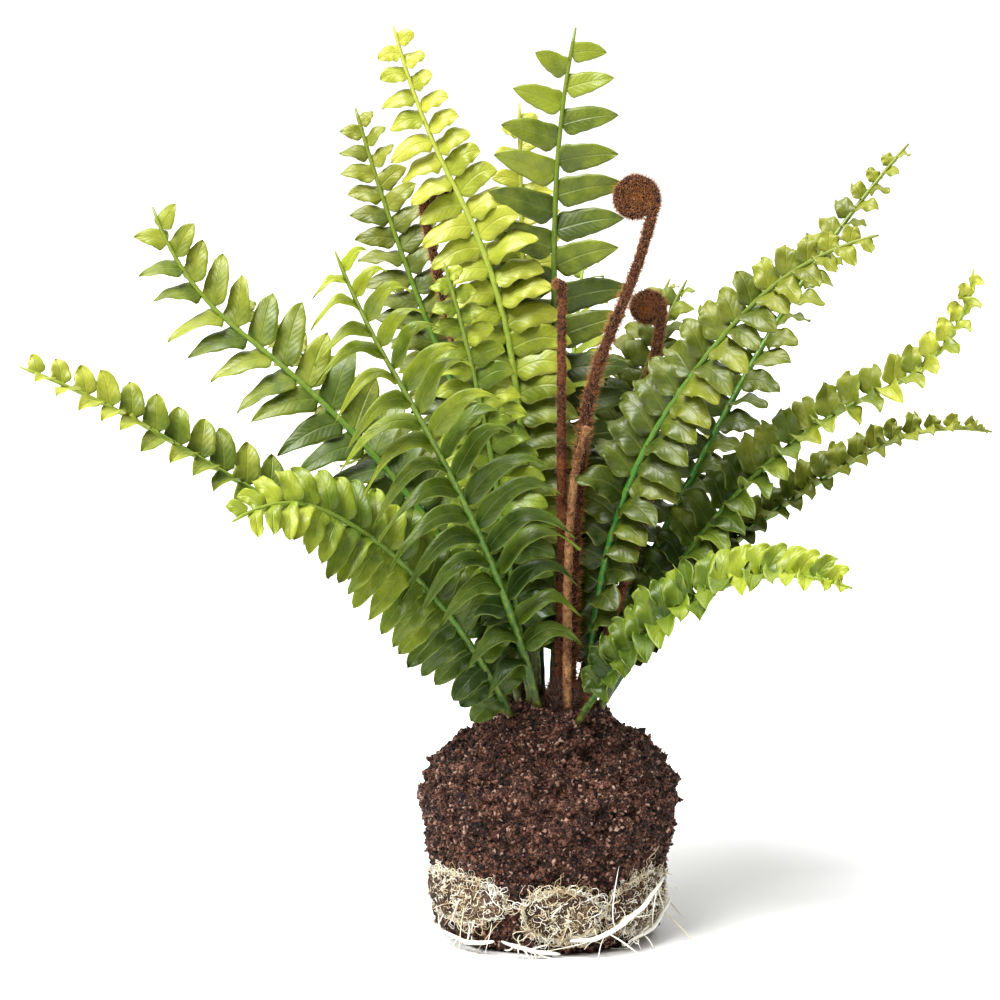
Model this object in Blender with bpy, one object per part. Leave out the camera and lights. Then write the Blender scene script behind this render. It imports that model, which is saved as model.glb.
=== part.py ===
"""A fern standing in its own root ball: fronds, curled young crosiers, a rhizome crown and pale roots."""

import math

import bmesh
import bpy
from mathutils import Vector, noise
from mathutils.bvhtree import BVHTree

# Root ball, in metres. Its outline is a few points given as shares of these.
BALL_RADIUS = 0.0515
SHOULDER_HEIGHT = 0.072
NECK_RADIUS = 0.025
MOUND_HEIGHT = 0.024
BALL_OUTLINE = ((0.76, 0.0), (0.84, 0.045), (0.88, 0.11), (0.90, 0.24), (0.91, 0.42),
                (0.98, 0.62), (1.0, 0.74), (0.97, 0.88), (0.86, 1.0))
NECK_OUTLINE = ((1.24, 0.26), (1.02, 0.55), (0.84, 0.85), (0.5, 1.0))
BALL_SIDES = 32
LUMP_HEIGHT = 0.0016
LUMP_SIZE = 0.032
RING_STEP = 0.011      # most height between two rings of the ball

# Fits
SOIL_GAP = 0.0004      # between a buried stem and the soil round it
CROWN_GAP = 0.0006     # between the rhizome crown and the soil
LEAF_GAP = 0.0004      # between two leaflets that pass each other
ROOT_GAP = 0.0010      # between the ball and what lies on it
BURIED = 0.007         # how far a stem goes down into the soil

# Fronds
STEM_RADIUS = 0.0014   # at the foot of a long frond
STEM_TIP_RADIUS = 0.0005
STEM_HALF_WIDTH = 0.9  # the two lower corners of a stem's section, as shares of its radius
STEM_UNDERSIDE = 0.5
BARE_RINGS = 5         # rings on the bare foot of a stem
BEND_STEPS = 8         # steps of the bend between two of its rings
LEAFLET_THICKNESS = 0.0009
LEAFLET_BELLY = 0.4    # where a leaflet is widest, as a share of its length
BELLY_LIFT = 0.35      # how much of a leaflet's sag lifts its belly; the rest lowers its tip
LONG_FROND = 0.28      # the length that has the full stem radius
FOOT_LENGTH = 0.55     # the lowest leaflets' length, as a share of the longest
FULL_LENGTH_FROM = 0.28   # how far up the leafy part they reach full length
TIP_LENGTH = 0.16      # the last leaflets' length and width, as shares
TIP_WIDTH = 0.45
TAPER_ROUNDNESS = 0.8

# Each frond: where it stands on the neck (compass angle, share of the neck's radius), the compass
# heading that it leans to, its lean from upright from foot to tip, the way its upper side faces
# (compass angle, degrees up), its length and bare share, and its leaflets: how many pairs, length, width,
# fold above the frond's plane, sweep towards the tip, droop, twist about their own length, and how
# blunt the frond ends: a high number keeps its leaflets long right up to the tip.
FRONDS = {
    "tall": dict(
        foot=(70, 0.36), heading=15, lean=(1, 0, -2, 2, 12), face=(270, 5), length=0.268, bare=0.08,
        pairs=17, leaflet=(0.0320, 0.0112), fold=6, sweep=(84, 70), droop=0.05, twist=10, blunt=5, colour="dark"),
    "tall_left": dict(
        foot=(190, 0.20), heading=162, lean=(2, 3, 10, 29, 15), face=(266, 6), length=0.278, bare=0.08,
        pairs=27, leaflet=(0.0265, 0.0100), fold=8, sweep=(92, 76), droop=0.18, twist=24, blunt=2.6,
        colour="yellow"),
    "front": dict(
        foot=(252, 0.60), heading=232, lean=(20, 30, 37, 40, 30), face=(268, 28), length=0.226, bare=0.08,
        pairs=17, leaflet=(0.0400, 0.0104), fold=8, sweep=(90, 62), droop=0.24, twist=50, blunt=2.6,
        colour="mid"),
    "front_left": dict(
        foot=(226, 0.88), heading=222, lean=(30, 40, 50, 66, 114), face=(268, 36), length=0.180, bare=0.04,
        pairs=20, leaflet=(0.0260, 0.0098), fold=-4, sweep=(90, 66), droop=0.10, twist=32, blunt=3, colour="mid"),
    "left": dict(
        foot=(205, 0.52), heading=172, lean=(16, 34, 44, 53, 18), face=(266, 30), length=0.250, bare=0.12,
        pairs=17, leaflet=(0.0300, 0.0108), fold=4, sweep=(80, 52), droop=0.12, twist=20, blunt=4,
        colour="yellow"),
    "low_left": dict(
        foot=(184, 0.66), heading=190, lean=(38, 48, 58, 58, 68), face=(266, 56), length=0.240, bare=0.16,
        pairs=19, leaflet=(0.0200, 0.0102), fold=26, sweep=(76, 56), droop=0.14, twist=14, blunt=5, colour="mid"),
    "left_back": dict(
        foot=(152, 0.58), heading=152, lean=(20, 42, 58), face=(270, 40), length=0.207, bare=0.14,
        pairs=18, leaflet=(0.0190, 0.0088), fold=10, sweep=(76, 50), droop=0.18, twist=20, blunt=3,
        colour="olive"),
    "inner_left": dict(
        foot=(228, 0.44), heading=212, lean=(10, 11, 19), face=(266, 16), length=0.182, bare=0.10,
        pairs=18, leaflet=(0.0225, 0.0092), fold=6, sweep=(86, 64), droop=0.20, twist=28, blunt=2.4,
        colour="olive"),
    "back_left": dict(
        foot=(135, 0.44), heading=140, lean=(6, 30, 21), face=(268, 12), length=0.253, bare=0.14,
        pairs=23, leaflet=(0.0210, 0.0088), fold=8, sweep=(82, 60), droop=0.10, twist=16, blunt=5, colour="dark"),
    "back": dict(
        foot=(104, 0.62), heading=100, lean=(7, 16, 5), face=(275, 10), length=0.242, bare=0.14,
        pairs=20, leaflet=(0.0215, 0.0092), fold=6, sweep=(88, 70), droop=0.12, twist=18, blunt=3.4,
        colour="yellow"),
    "right": dict(
        foot=(338, 0.66), heading=342, lean=(3, 12, 31, 44, 76), face=(252, 34), length=0.238, bare=0.08,
        pairs=23, leaflet=(0.0235, 0.0104), fold=12, sweep=(84, 60), droop=0.20, twist=26, blunt=2.6,
        colour="olive"),
    "right_back": dict(
        foot=(30, 0.62), heading=28, lean=(30, 32, 47), face=(252, 36), length=0.270, bare=0.18,
        pairs=22, leaflet=(0.0180, 0.0092), fold=16, sweep=(80, 56), droop=0.18, twist=20, blunt=2.6,
        colour="olive"),
    "low_right": dict(
        foot=(350, 0.84), heading=350, lean=(24, 32, 46, 66, 2), face=(262, 50), length=0.238, bare=0.08,
        pairs=23, leaflet=(0.0200, 0.0098), fold=26, sweep=(78, 56), droop=0.22, twist=16, blunt=2.6,
        colour="olive"),
    "lowest_right": dict(
        foot=(10, 0.86), heading=6, lean=(32, 40, 54, 62, 102), face=(262, 60), length=0.203, bare=0.08,
        pairs=23, leaflet=(0.0165, 0.0088), fold=34, sweep=(78, 56), droop=0.20, twist=14, blunt=2.6,
        colour="olive"),
    "front_right": dict(
        foot=(304, 0.88), heading=320, lean=(35, 58, 102), face=(272, 50), length=0.155, bare=0.09,
        pairs=18, leaflet=(0.0205, 0.0090), fold=30, sweep=(78, 54), droop=0.18, twist=18, blunt=3, colour="mid"),
    "back_right": dict(
        foot=(52, 0.40), heading=60, lean=(18, 26, 48), face=(252, 40), length=0.188, bare=0.12,
        pairs=16, leaflet=(0.0200, 0.0092), fold=16, sweep=(82, 58), droop=0.20, twist=24, blunt=3,
        colour="olive"),
    "inner_back": dict(
        foot=(112, 0.30), heading=118, lean=(4, 12, 24), face=(96, 20), length=0.196, bare=0.12,
        pairs=17, leaflet=(0.0230, 0.0094), fold=6, sweep=(80, 52), droop=0.14, twist=16, blunt=3, colour="mid"),
    "inner_right": dict(
        foot=(20, 0.34), heading=38, lean=(6, 20, 36), face=(250, 24), length=0.178, bare=0.12,
        pairs=16, leaflet=(0.0220, 0.0092), fold=8, sweep=(78, 50), droop=0.16, twist=18, blunt=3, colour="dark"),
    "rear_left": dict(
        foot=(118, 0.70), heading=128, lean=(14, 30, 48), face=(104, 40), length=0.196, bare=0.12,
        pairs=16, leaflet=(0.0230, 0.0094), fold=8, sweep=(78, 50), droop=0.16, twist=18, blunt=3,
        colour="olive"),
    "rear": dict(
        foot=(84, 0.80), heading=84, lean=(20, 42, 60), face=(88, 56), length=0.226, bare=0.12,
        pairs=17, leaflet=(0.0260, 0.0100), fold=10, sweep=(78, 50), droop=0.14, twist=18, blunt=3, colour="mid"),
    "rear_low": dict(
        foot=(104, 0.92), heading=98, lean=(34, 60, 88), face=(90, 66), length=0.200, bare=0.10,
        pairs=16, leaflet=(0.0240, 0.0098), fold=12, sweep=(78, 48), droop=0.18, twist=16, blunt=3, colour="mid"),
    "rear_low_left": dict(
        foot=(132, 0.84), heading=122, lean=(32, 60, 90), face=(118, 66), length=0.190, bare=0.10,
        pairs=16, leaflet=(0.0230, 0.0096), fold=14, sweep=(78, 48), droop=0.18, twist=16, blunt=3,
        colour="dark"),
    "rear_low_right": dict(
        foot=(56, 0.86), heading=68, lean=(32, 60, 90), face=(64, 66), length=0.190, bare=0.10,
        pairs=16, leaflet=(0.0230, 0.0096), fold=14, sweep=(78, 48), droop=0.18, twist=16, blunt=3,
        colour="dark"),
}
UNEVEN = dict(fold=9, sweep=6, twist=12, length=0.10)   # how much leaflets differ, in degrees and as a share

# What a leaflet with no room tries instead: more or less fold in degrees, at a share of its length
FOLD_TRIES = (0, 10, -10, 22, -22, 36, -36, 52, -52, 68)
LENGTH_TRIES = (1.0, 0.8, 0.62, 0.45)

# Rhizome crown, a fuzzy lump that the young crosiers rise from. Its place is in shares of the neck's
# radius, and each of its rings is a share of its radius and of its height.
CROWN_PLACE = (0.26, -0.34)
CROWN_RADIUS = 0.0066
CROWN_HEIGHT = 0.009
CROWN_RINGS = ((0.9, -0.5), (1.0, 0.1), (0.92, 0.55), (0.6, 0.95))
CROWN_SIDES = 12
CROWN_LUMPS = 0.12

# Young crosiers and old stubs: foot (x, y) in shares of the neck's radius, heading, lean from foot to
# tip, length up to the head, radius at foot and head in shares of the neck's, and the curled head: its
# radius and turns.
CROSIERS = {
    "crosier_tall": dict(foot=(0.352, -0.352), heading=5, lean=(0, 2, 6, 24, 13), length=0.198,
                         radius=(0.088, 0.076), head=0.0108, turns=1.9),
    "crosier_hooked": dict(foot=(0.168, -0.352), heading=60, lean=(1, 2, -1, 0, 1), length=0.161,
                           radius=(0.082, 0.068), head=0.0034, turns=0.5),
    "crosier_right": dict(foot=(0.58, 0.14), heading=30, lean=(4, 11, 23, 6), length=0.160,
                          radius=(0.084, 0.076), head=0.0088, turns=1.6),
    "crosier_left": dict(foot=(-0.38, 0.06), heading=156, lean=(7, 10, 19, 12), length=0.203,
                         radius=(0.080, 0.064), head=0.0092, turns=1.6),
    "stub_pale": dict(foot=(0.288, -0.548), heading=350, lean=(0, 0, 2, 5, 20), length=0.108,
                      radius=(0.076, 0.064), head=0, turns=0),
    "stub_right": dict(foot=(0.60, -0.42), heading=352, lean=(14, 18, 14), length=0.094,
                       radius=(0.084, 0.076), head=0, turns=0),
}
CROSIER_SIDES = 6
CROSIER_STEP = 0.016   # length of stem between two rings
HEAD_STEPS = 12        # rings in each turn of a head
HEAD_CENTRE = 0.20     # where the spiral ends, as a share of its reach
HEAD_TIP = 0.45        # and how thin the stem is there
FOOT_LIFT = 0.6        # how high on the crown a crosier starts, as a share of the crown's height

# Root mats: compass angles that they reach between, heights that they reach between, and thickness
ROOT_MATS = {
    "root_mat_left": dict(angles=(190, 248), heights=(0.012, 0.030), thickness=0.0020),
    "root_mat_front": dict(angles=(258, 294), heights=(0.007, 0.027), thickness=0.0022),
    "root_mat_right": dict(angles=(300, 350), heights=(0.007, 0.029), thickness=0.0020),
    "root_mat_back_left": dict(angles=(122, 172), heights=(0.009, 0.028), thickness=0.0020),
    "root_mat_back_right": dict(angles=(30, 92), heights=(0.007, 0.026), thickness=0.0020),
}
MAT_STEP = 8           # degrees between two columns of a mat's points
MAT_ROW = 0.004        # height between two of its rows
MAT_END = 0.45         # height of a mat's ends, as a share of its middle's
MAT_WAVE = 0.25        # and how much its upper edge waves

# Thick roots, which lie over the mats: compass angles and heights from end to end, and radius
THICK_ROOTS = {
    "root_sweeping": dict(angles=(279, 290, 303, 318, 334), heights=(0.0075, 0.0080, 0.0120, 0.0190, 0.0270),
                          radius=0.0010),
    "root_low": dict(angles=(248, 262, 276), heights=(0.0070, 0.0035, 0.0018), radius=0.0009),
    "root_left": dict(angles=(212, 228, 244), heights=(0.0060, 0.0040, 0.0065), radius=0.0009),
    "root_right": dict(angles=(310, 328, 350), heights=(0.0040, 0.0075, 0.0150), radius=0.0008),
    "root_back": dict(angles=(60, 98, 140), heights=(0.0220, 0.0090, 0.0160), radius=0.0009),
}
ROOT_POINTS = 12
ROOT_END = 0.45        # a root's radius at its ends, as a share of its middle's

COLOURS = {
    "dark": (0.075, 0.190, 0.040),
    "mid": (0.165, 0.330, 0.060),
    "yellow": (0.380, 0.520, 0.110),
    "olive": (0.180, 0.270, 0.060),
    "soil": (0.040, 0.024, 0.017),
    "crown": (0.150, 0.050, 0.022),
    "crosier": (0.170, 0.060, 0.028),
    "root": (0.700, 0.600, 0.420),
}
ROUGHNESS = {"soil": 0.95, "crown": 0.9, "crosier": 0.85, "root": 0.7}
LEAF_ROUGHNESS = 0.42


def clear_scene():
    for obj in list(bpy.data.objects):
        bpy.data.objects.remove(obj, do_unlink=True)


def material(name, colour):
    made = bpy.data.materials.new(name)
    made.use_nodes = True
    shader = made.node_tree.nodes["Principled BSDF"]
    shader.inputs["Base Color"].default_value = (*COLOURS[colour], 1.0)
    shader.inputs["Roughness"].default_value = ROUGHNESS.get(colour, LEAF_ROUGHNESS)
    shader.inputs["Metallic"].default_value = 0.0
    return made


def add_object(name, bm, colour):
    """Turns a closed bmesh into a named, smooth-shaded object."""
    bmesh.ops.recalc_face_normals(bm, faces=bm.faces)
    mesh = bpy.data.meshes.new(name)
    bm.to_mesh(mesh)
    mesh.shade_smooth()
    mesh.set_sharp_from_angle(angle=math.radians(35))
    obj = bpy.data.objects.new(name, mesh)
    mesh.materials.append(material(name, colour))
    bpy.context.scene.collection.objects.link(obj)
    return obj


def compass(angle):
    return Vector((math.cos(math.radians(angle)), math.sin(math.radians(angle)), 0.0))


def along(values, share):
    """The value at a share of the way through evenly spaced values, from the first to the last."""
    at = share * (len(values) - 1)
    before = min(int(at), len(values) - 2)
    return values[before] + (values[before + 1] - values[before]) * (at - before)


# ---- root ball ----

def ball_outline():
    """(radius, height) from the foot's edge up to the top of the mound."""
    ball = [(r * BALL_RADIUS, h * SHOULDER_HEIGHT) for r, h in BALL_OUTLINE]
    neck = [(r * NECK_RADIUS, SHOULDER_HEIGHT + h * MOUND_HEIGHT) for r, h in NECK_OUTLINE]
    return ball + neck


def ball_radius(height, angle):
    """The ball's radius at a height and a compass angle, with its lumps."""
    outline = ball_outline()
    radius = outline[-1][0]
    for (r0, h0), (r1, h1) in zip(outline, outline[1:]):
        if height <= h1:
            radius = r0 + (r1 - r0) * (height - h0) / (h1 - h0)
            break
    place = compass(angle) * radius + Vector((0, 0, height))
    return radius + LUMP_HEIGHT * noise.noise(place / LUMP_SIZE)


def ball_point(angle, height, offset=0.0):
    return compass(angle) * (ball_radius(height, angle) + offset) + Vector((0, 0, height))


def mound_height(radius):
    """Height of the soil at a distance from the middle of the neck."""
    outline = [(r, h) for r, h in ball_outline() if h > SHOULDER_HEIGHT]
    outline.append((0.0, outline[-1][1]))
    for (r0, h0), (r1, h1) in zip(outline, outline[1:]):
        if radius >= r1:
            return h0 + (h1 - h0) * (r0 - radius) / (r0 - r1)
    return outline[-1][1]


def on_mound(place):
    """The point on the soil at (x, y), which are shares of the neck's radius."""
    x, y = (share * NECK_RADIUS for share in place)
    return Vector((x, y, mound_height(math.hypot(x, y))))


def ball_rings():
    """The outline with more points where two are further apart than RING_STEP."""
    outline = ball_outline()
    rings = [outline[0]]
    for (r0, h0), (r1, h1) in zip(outline, outline[1:]):
        parts = max(1, math.ceil((h1 - h0) / RING_STEP))
        for part in range(1, parts + 1):
            share = part / parts
            rings.append((r0 + (r1 - r0) * share, h0 + (h1 - h0) * share))
    return rings


def root_ball_mesh():
    bm = bmesh.new()
    rings = []
    for radius, height in ball_rings():
        ring = []
        for side in range(BALL_SIDES):
            angle = 360 * side / BALL_SIDES
            ring.append(bm.verts.new(ball_point(angle, height)))
        rings.append(ring)
    for lower, upper in zip(rings, rings[1:]):
        for side in range(BALL_SIDES):
            after = (side + 1) % BALL_SIDES
            bm.faces.new((lower[side], lower[after], upper[after], upper[side]))
    for ring in (rings[0], rings[-1]):
        bm.faces.new(ring)
    bmesh.ops.triangulate(bm, faces=bm.faces)
    return bm


# ---- stems ----

def stem_points(foot, heading, lean, length, steps):
    """Points of a stem that bends as it rises, from its foot on the soil to its tip, and their headings."""
    point = Vector(foot)
    points = [point.copy()]
    for step in range(steps):
        share = (step + 0.5) / steps
        tilt = math.radians(along(lean, share))
        way = compass(heading) * math.sin(tilt) + Vector((0, 0, math.cos(tilt)))
        point = point + way * length / steps
        points.append(point.copy())
    return points


def tangents(points):
    found = []
    for i in range(len(points)):
        before = points[max(i - 1, 0)]
        after = points[min(i + 1, len(points) - 1)]
        found.append((after - before).normalized())
    return found


def buried(points):
    """The same stem with its buried end in front."""
    return [points[0] - (points[1] - points[0]).normalized() * BURIED] + points


def tube(bm, points, radii, sides):
    """Adds a closed round tube along the points."""
    ways = tangents(points)
    side_way = ways[0].orthogonal().normalized()
    rings = []
    for point, way, radius in zip(points, ways, radii):
        side_way = (side_way - way * side_way.dot(way)).normalized()
        other = way.cross(side_way)
        ring = []
        for side in range(sides):
            turn = math.tau * side / sides
            ring.append(bm.verts.new(point + (side_way * math.cos(turn) + other * math.sin(turn)) * radius))
        rings.append(ring)
    for lower, upper in zip(rings, rings[1:]):
        for side in range(sides):
            after = (side + 1) % sides
            bm.faces.new((lower[side], lower[after], upper[after], upper[side]))
    bm.faces.new(rings[0])
    bm.faces.new(rings[-1])


def socket(bm, points, radius):
    """Adds the cutter for a stem's hole in the soil or in the crown."""
    start, surface = points[0], points[1]
    way = (surface - start).normalized()
    ends = [start - way * SOIL_GAP, surface + way * BURIED]
    tube(bm, ends, [radius + SOIL_GAP] * 2, CROSIER_SIDES)


# ---- fronds ----

class Frond:
    """A frond's centre line with the frame of its stem at each ring."""

    def __init__(self, spec):
        angle, share = spec["foot"]
        radius = share * NECK_RADIUS
        foot = compass(angle) * radius + Vector((0, 0, mound_height(radius)))
        self.spec = spec
        rings = 2 * spec["pairs"] + 1
        steps = rings * BEND_STEPS
        points = stem_points(foot, spec["heading"], spec["lean"], spec["length"], steps)
        first = round(spec["bare"] * steps)
        picks = [round(first * i / BARE_RINGS) for i in range(BARE_RINGS)]
        picks += [round(first + (steps - first) * i / rings) for i in range(rings + 1)]
        self.points = buried([points[i] for i in picks])
        self.ways = tangents(self.points)
        self.shares = [0.0] + [i / steps for i in picks]
        stout = STEM_RADIUS * math.sqrt(spec["length"] / LONG_FROND)
        self.radii = [stout + (STEM_TIP_RADIUS - stout) * share for share in self.shares]
        face_angle, face_up = spec["face"]
        face = compass(face_angle) * math.cos(math.radians(face_up))
        face.z = math.sin(math.radians(face_up))
        self.ups = [(face - way * face.dot(way)).normalized() for way in self.ways]
        self.sides = [up.cross(way) for up, way in zip(self.ups, self.ways)]

    def ring(self, i):
        """The stem's three corners at ring i: its ridge, and its two lower edges."""
        centre = self.points[i]
        up = self.ups[i] * self.radii[i]
        across = self.sides[i] * self.radii[i] * STEM_HALF_WIDTH
        under = centre - up * STEM_UNDERSIDE
        return centre + up, under + across, under - across


def leaflet_size(spec, share):
    """Length and width of the leaflet at a share of the leafy part, foot to tip."""
    length, width = spec["leaflet"]
    swell = min(1.0, FOOT_LENGTH + (1 - FOOT_LENGTH) * share / FULL_LENGTH_FROM)
    taper = (1 - share ** spec["blunt"]) ** TAPER_ROUNDNESS
    length *= swell * (TIP_LENGTH + (1 - TIP_LENGTH) * taper)
    width *= TIP_WIDTH + (1 - TIP_WIDTH) * taper
    return length, width


def uneven(frond, i, what):
    """How much this leaflet differs from its neighbours in one respect."""
    row = list(UNEVEN).index(what)
    place = Vector((i * 0.83, frond.spec["length"] * 1000, row * 7.3))
    return UNEVEN[what] * 2 * noise.noise(place)


def leaflet_points(frond, i, hand, fold, length_share, extra=0.0):
    """The belly's basal edge, ridge and apical edge, and the tip, of the leaflet rooted at ring i.

    hand is 1 for the left side and -1 for the right; extra makes it that much bigger all round."""
    spec = frond.spec
    share = max(0.0, (frond.shares[i] - spec["bare"]) / (1 - spec["bare"]))
    length, width = leaflet_size(spec, share)
    length *= length_share * (1 + uneven(frond, i, "length"))
    width *= (1 + length_share) / 2
    root = (frond.points[i] + frond.points[i + 1]) / 2
    way, up = frond.ways[i], frond.ups[i]
    side = frond.sides[i] * hand
    tilt = math.radians(fold)
    flat = side * math.cos(tilt) + up * math.sin(tilt)
    sweep = math.radians(along(spec["sweep"], share) + uneven(frond, i, "sweep"))
    out = flat * math.sin(sweep) + way * math.cos(sweep)
    across = way * math.sin(sweep) - flat * math.cos(sweep)
    normal = across.cross(out)
    if normal.dot(up) < 0:
        normal = -normal
    twist = math.radians(spec["twist"] + uneven(frond, i, "twist"))
    across, normal = (across * math.cos(twist) - normal * math.sin(twist),
                      normal * math.cos(twist) + across * math.sin(twist))
    sag = Vector((0, 0, spec["droop"] * length))
    belly = root + out * length * LEAFLET_BELLY + sag * BELLY_LIFT
    tip = root + out * (length + extra) - sag * (1 - BELLY_LIFT)
    half = width / 2 + extra
    return (belly - across * half - normal * extra,
            belly + normal * (LEAFLET_THICKNESS + extra),
            belly + across * half - normal * extra,
            tip)


def leaflet_faces(lower, upper, belly, tip, hand):
    """The ten triangles of a leaflet between two stem rings, as corner triples."""
    ridge0, edge0 = lower[0], lower[1 if hand > 0 else 2]
    ridge1, edge1 = upper[0], upper[1 if hand > 0 else 2]
    basal, ridge, apical = belly
    return ((ridge0, basal, ridge), (ridge0, ridge, ridge1), (ridge1, ridge, apical),
            (ridge0, edge0, basal), (ridge1, apical, edge1),
            (edge0, edge1, apical), (edge0, apical, basal),
            (basal, tip, ridge), (ridge, tip, apical), (apical, tip, basal))


def tree_of_triangles(triangles):
    points = [corner for triangle in triangles for corner in triangle]
    faces = [(3 * i, 3 * i + 1, 3 * i + 2) for i in range(len(triangles))]
    return BVHTree.FromPolygons(points, faces)


def stem_tree(points, radii):
    bm = bmesh.new()
    tube(bm, points, [radius + LEAF_GAP for radius in radii], CROSIER_SIDES)
    tree = BVHTree.FromBMesh(bm)
    bm.free()
    return tree


def choose_leaflet(frond, i, hand, obstacles):
    """The fold and length share that keep this leaflet clear of everything grown so far, or None."""
    for length_share in LENGTH_TRIES:
        for fold in FOLD_TRIES:
            tilt = frond.spec["fold"] + fold + uneven(frond, i, "fold")
            basal, ridge, apical, tip = leaflet_points(frond, i, hand, tilt, length_share, LEAF_GAP)
            faces = leaflet_faces(frond.ring(i), frond.ring(i + 1), (basal, ridge, apical), tip, hand)
            tree = tree_of_triangles(faces)
            if not any(tree.overlap(other) for other in obstacles):
                return tilt, length_share
    return None


def frond_mesh(frond, obstacles):
    bm = bmesh.new()
    rings = []
    for i in range(len(frond.points) - 1):
        rings.append([bm.verts.new(corner) for corner in frond.ring(i)])
    recent = []
    first_leafy = BARE_RINGS + 1
    for i in range(len(rings) - 1):
        lower, upper = rings[i], rings[i + 1]
        hand = 0
        if i >= first_leafy:
            hand = 1 if (i - first_leafy) % 2 == 0 else -1
        chosen = choose_leaflet(frond, i, hand, obstacles + recent) if hand else None
        if chosen:
            *belly, tip = leaflet_points(frond, i, hand, *chosen)
            belly = [bm.verts.new(point) for point in belly]
            tip = bm.verts.new(tip)
            faces = leaflet_faces(lower, upper, belly, tip, hand)
            for face in faces:
                bm.faces.new(face)
            corners = [[vert.co.copy() for vert in face] for face in faces]
            recent = recent[-3:] + [tree_of_triangles(corners[7:])]
        if not (chosen and hand > 0):
            bm.faces.new((lower[0], lower[1], upper[1], upper[0]))
        if not (chosen and hand < 0):
            bm.faces.new((lower[0], lower[2], upper[2], upper[0]))
        bm.faces.new((lower[1], lower[2], upper[2], upper[1]))
    end = bm.verts.new(frond.points[-1])
    for a, b in ((0, 1), (1, 2), (2, 0)):
        bm.faces.new((rings[-1][a], rings[-1][b], end))
    bm.faces.new(rings[0])
    bmesh.ops.triangulate(bm, faces=bm.faces)
    return bm


# ---- crosiers and crown ----

def crosier_points(spec):
    """A stem from its foot up into the curled head, and the radius at each point."""
    foot = on_mound(spec["foot"])
    if (foot - on_mound(CROWN_PLACE)).xy.length < CROWN_RADIUS:
        foot.z += CROWN_HEIGHT * FOOT_LIFT
    steps = round(spec["length"] / CROSIER_STEP)
    points = stem_points(foot, spec["heading"], spec["lean"], spec["length"], steps)
    thick, thin = (share * NECK_RADIUS for share in spec["radius"])
    radii = [thick + (thin - thick) * i / steps for i in range(steps + 1)]
    if spec["turns"]:
        head = head_points(points, spec)
        points += head
        radii += [thin * (1 - (1 - HEAD_TIP) * (i + 1) / len(head)) for i in range(len(head))]
    return buried(points), [thick] + radii


def head_points(points, spec):
    """The curled head: a flat spiral that winds inward from the stem's tip, back over the stem."""
    way = (points[-1] - points[-2]).normalized()
    inward = Vector((-1, 0, 0)) if spec["heading"] < 90 or spec["heading"] > 270 else Vector((1, 0, 0))
    inward = (inward - way * inward.dot(way)).normalized()
    outer = spec["head"] - spec["radius"][1] * NECK_RADIUS
    centre = points[-1] + inward * outer
    steps = round(spec["turns"] * HEAD_STEPS)
    found = []
    for step in range(1, steps + 1):
        turn = math.tau * spec["turns"] * step / steps
        reach = outer * (1 - (1 - HEAD_CENTRE) * step / steps)
        found.append(centre - inward * math.cos(turn) * reach + way * math.sin(turn) * reach)
    return found


def crown_mesh():
    """A lump that stands in the soil, widest at its foot."""
    bm = bmesh.new()
    middle = on_mound(CROWN_PLACE)
    rings = []
    for share, lift in CROWN_RINGS:
        ring = []
        for side in range(CROWN_SIDES):
            way = compass(360 * side / CROWN_SIDES)
            lump = CROWN_LUMPS * noise.noise(way * share * 2 + Vector((0, 0, lift)))
            out = way * CROWN_RADIUS * share * (1 + lump)
            ring.append(bm.verts.new(middle + out + Vector((0, 0, lift * CROWN_HEIGHT))))
        rings.append(ring)
    for lower, upper in zip(rings, rings[1:]):
        for side in range(CROWN_SIDES):
            after = (side + 1) % CROWN_SIDES
            bm.faces.new((lower[side], lower[after], upper[after], upper[side]))
    bm.faces.new(rings[0])
    bm.faces.new(rings[-1])
    return bm


def crown_cutter():
    """The crown's own shape, grown by the gap all round, which the soil leaves free."""
    bm = crown_mesh()
    bmesh.ops.recalc_face_normals(bm, faces=bm.faces)
    for vert in bm.verts:
        vert.normal_update()
    grown = [vert.co + vert.normal * CROWN_GAP for vert in bm.verts]
    for vert, place in zip(bm.verts, grown):
        vert.co = place
    return bm


# ---- roots ----

def mat_mesh(spec):
    """A thin felt of root fibres that lies on the ball, with a wavy outline."""
    start, stop = spec["angles"]
    low, high = spec["heights"]
    columns = max(3, round((stop - start) / MAT_STEP))
    rows = max(2, round((high - low) / MAT_ROW))
    bm = bmesh.new()
    layers = []
    for offset in (ROOT_GAP, ROOT_GAP + spec["thickness"]):
        layer = []
        for column in range(columns + 1):
            share = column / columns
            angle = start + (stop - start) * share
            wave = MAT_WAVE * noise.noise(Vector((angle / 11, low * 100, 0)))
            narrow = MAT_END + (1 - MAT_END) * math.sin(math.pi * share)
            middle = (low + high) / 2
            top = middle + (high - middle) * narrow * (1 + wave)
            bottom = middle - (middle - low) * narrow
            layer.append([
                bm.verts.new(ball_point(angle, bottom + (top - bottom) * row / rows, offset))
                for row in range(rows + 1)
            ])
        layers.append(layer)
    inner, outer = layers
    for column in range(columns):
        for row in range(rows):
            for layer in layers:
                bm.faces.new((layer[column][row], layer[column + 1][row],
                              layer[column + 1][row + 1], layer[column][row + 1]))
        for row in (0, rows):
            bm.faces.new((inner[column][row], inner[column + 1][row],
                          outer[column + 1][row], outer[column][row]))
    for column in (0, columns):
        for row in range(rows):
            bm.faces.new((inner[column][row], inner[column][row + 1],
                          outer[column][row + 1], outer[column][row]))
    return bm


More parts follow.
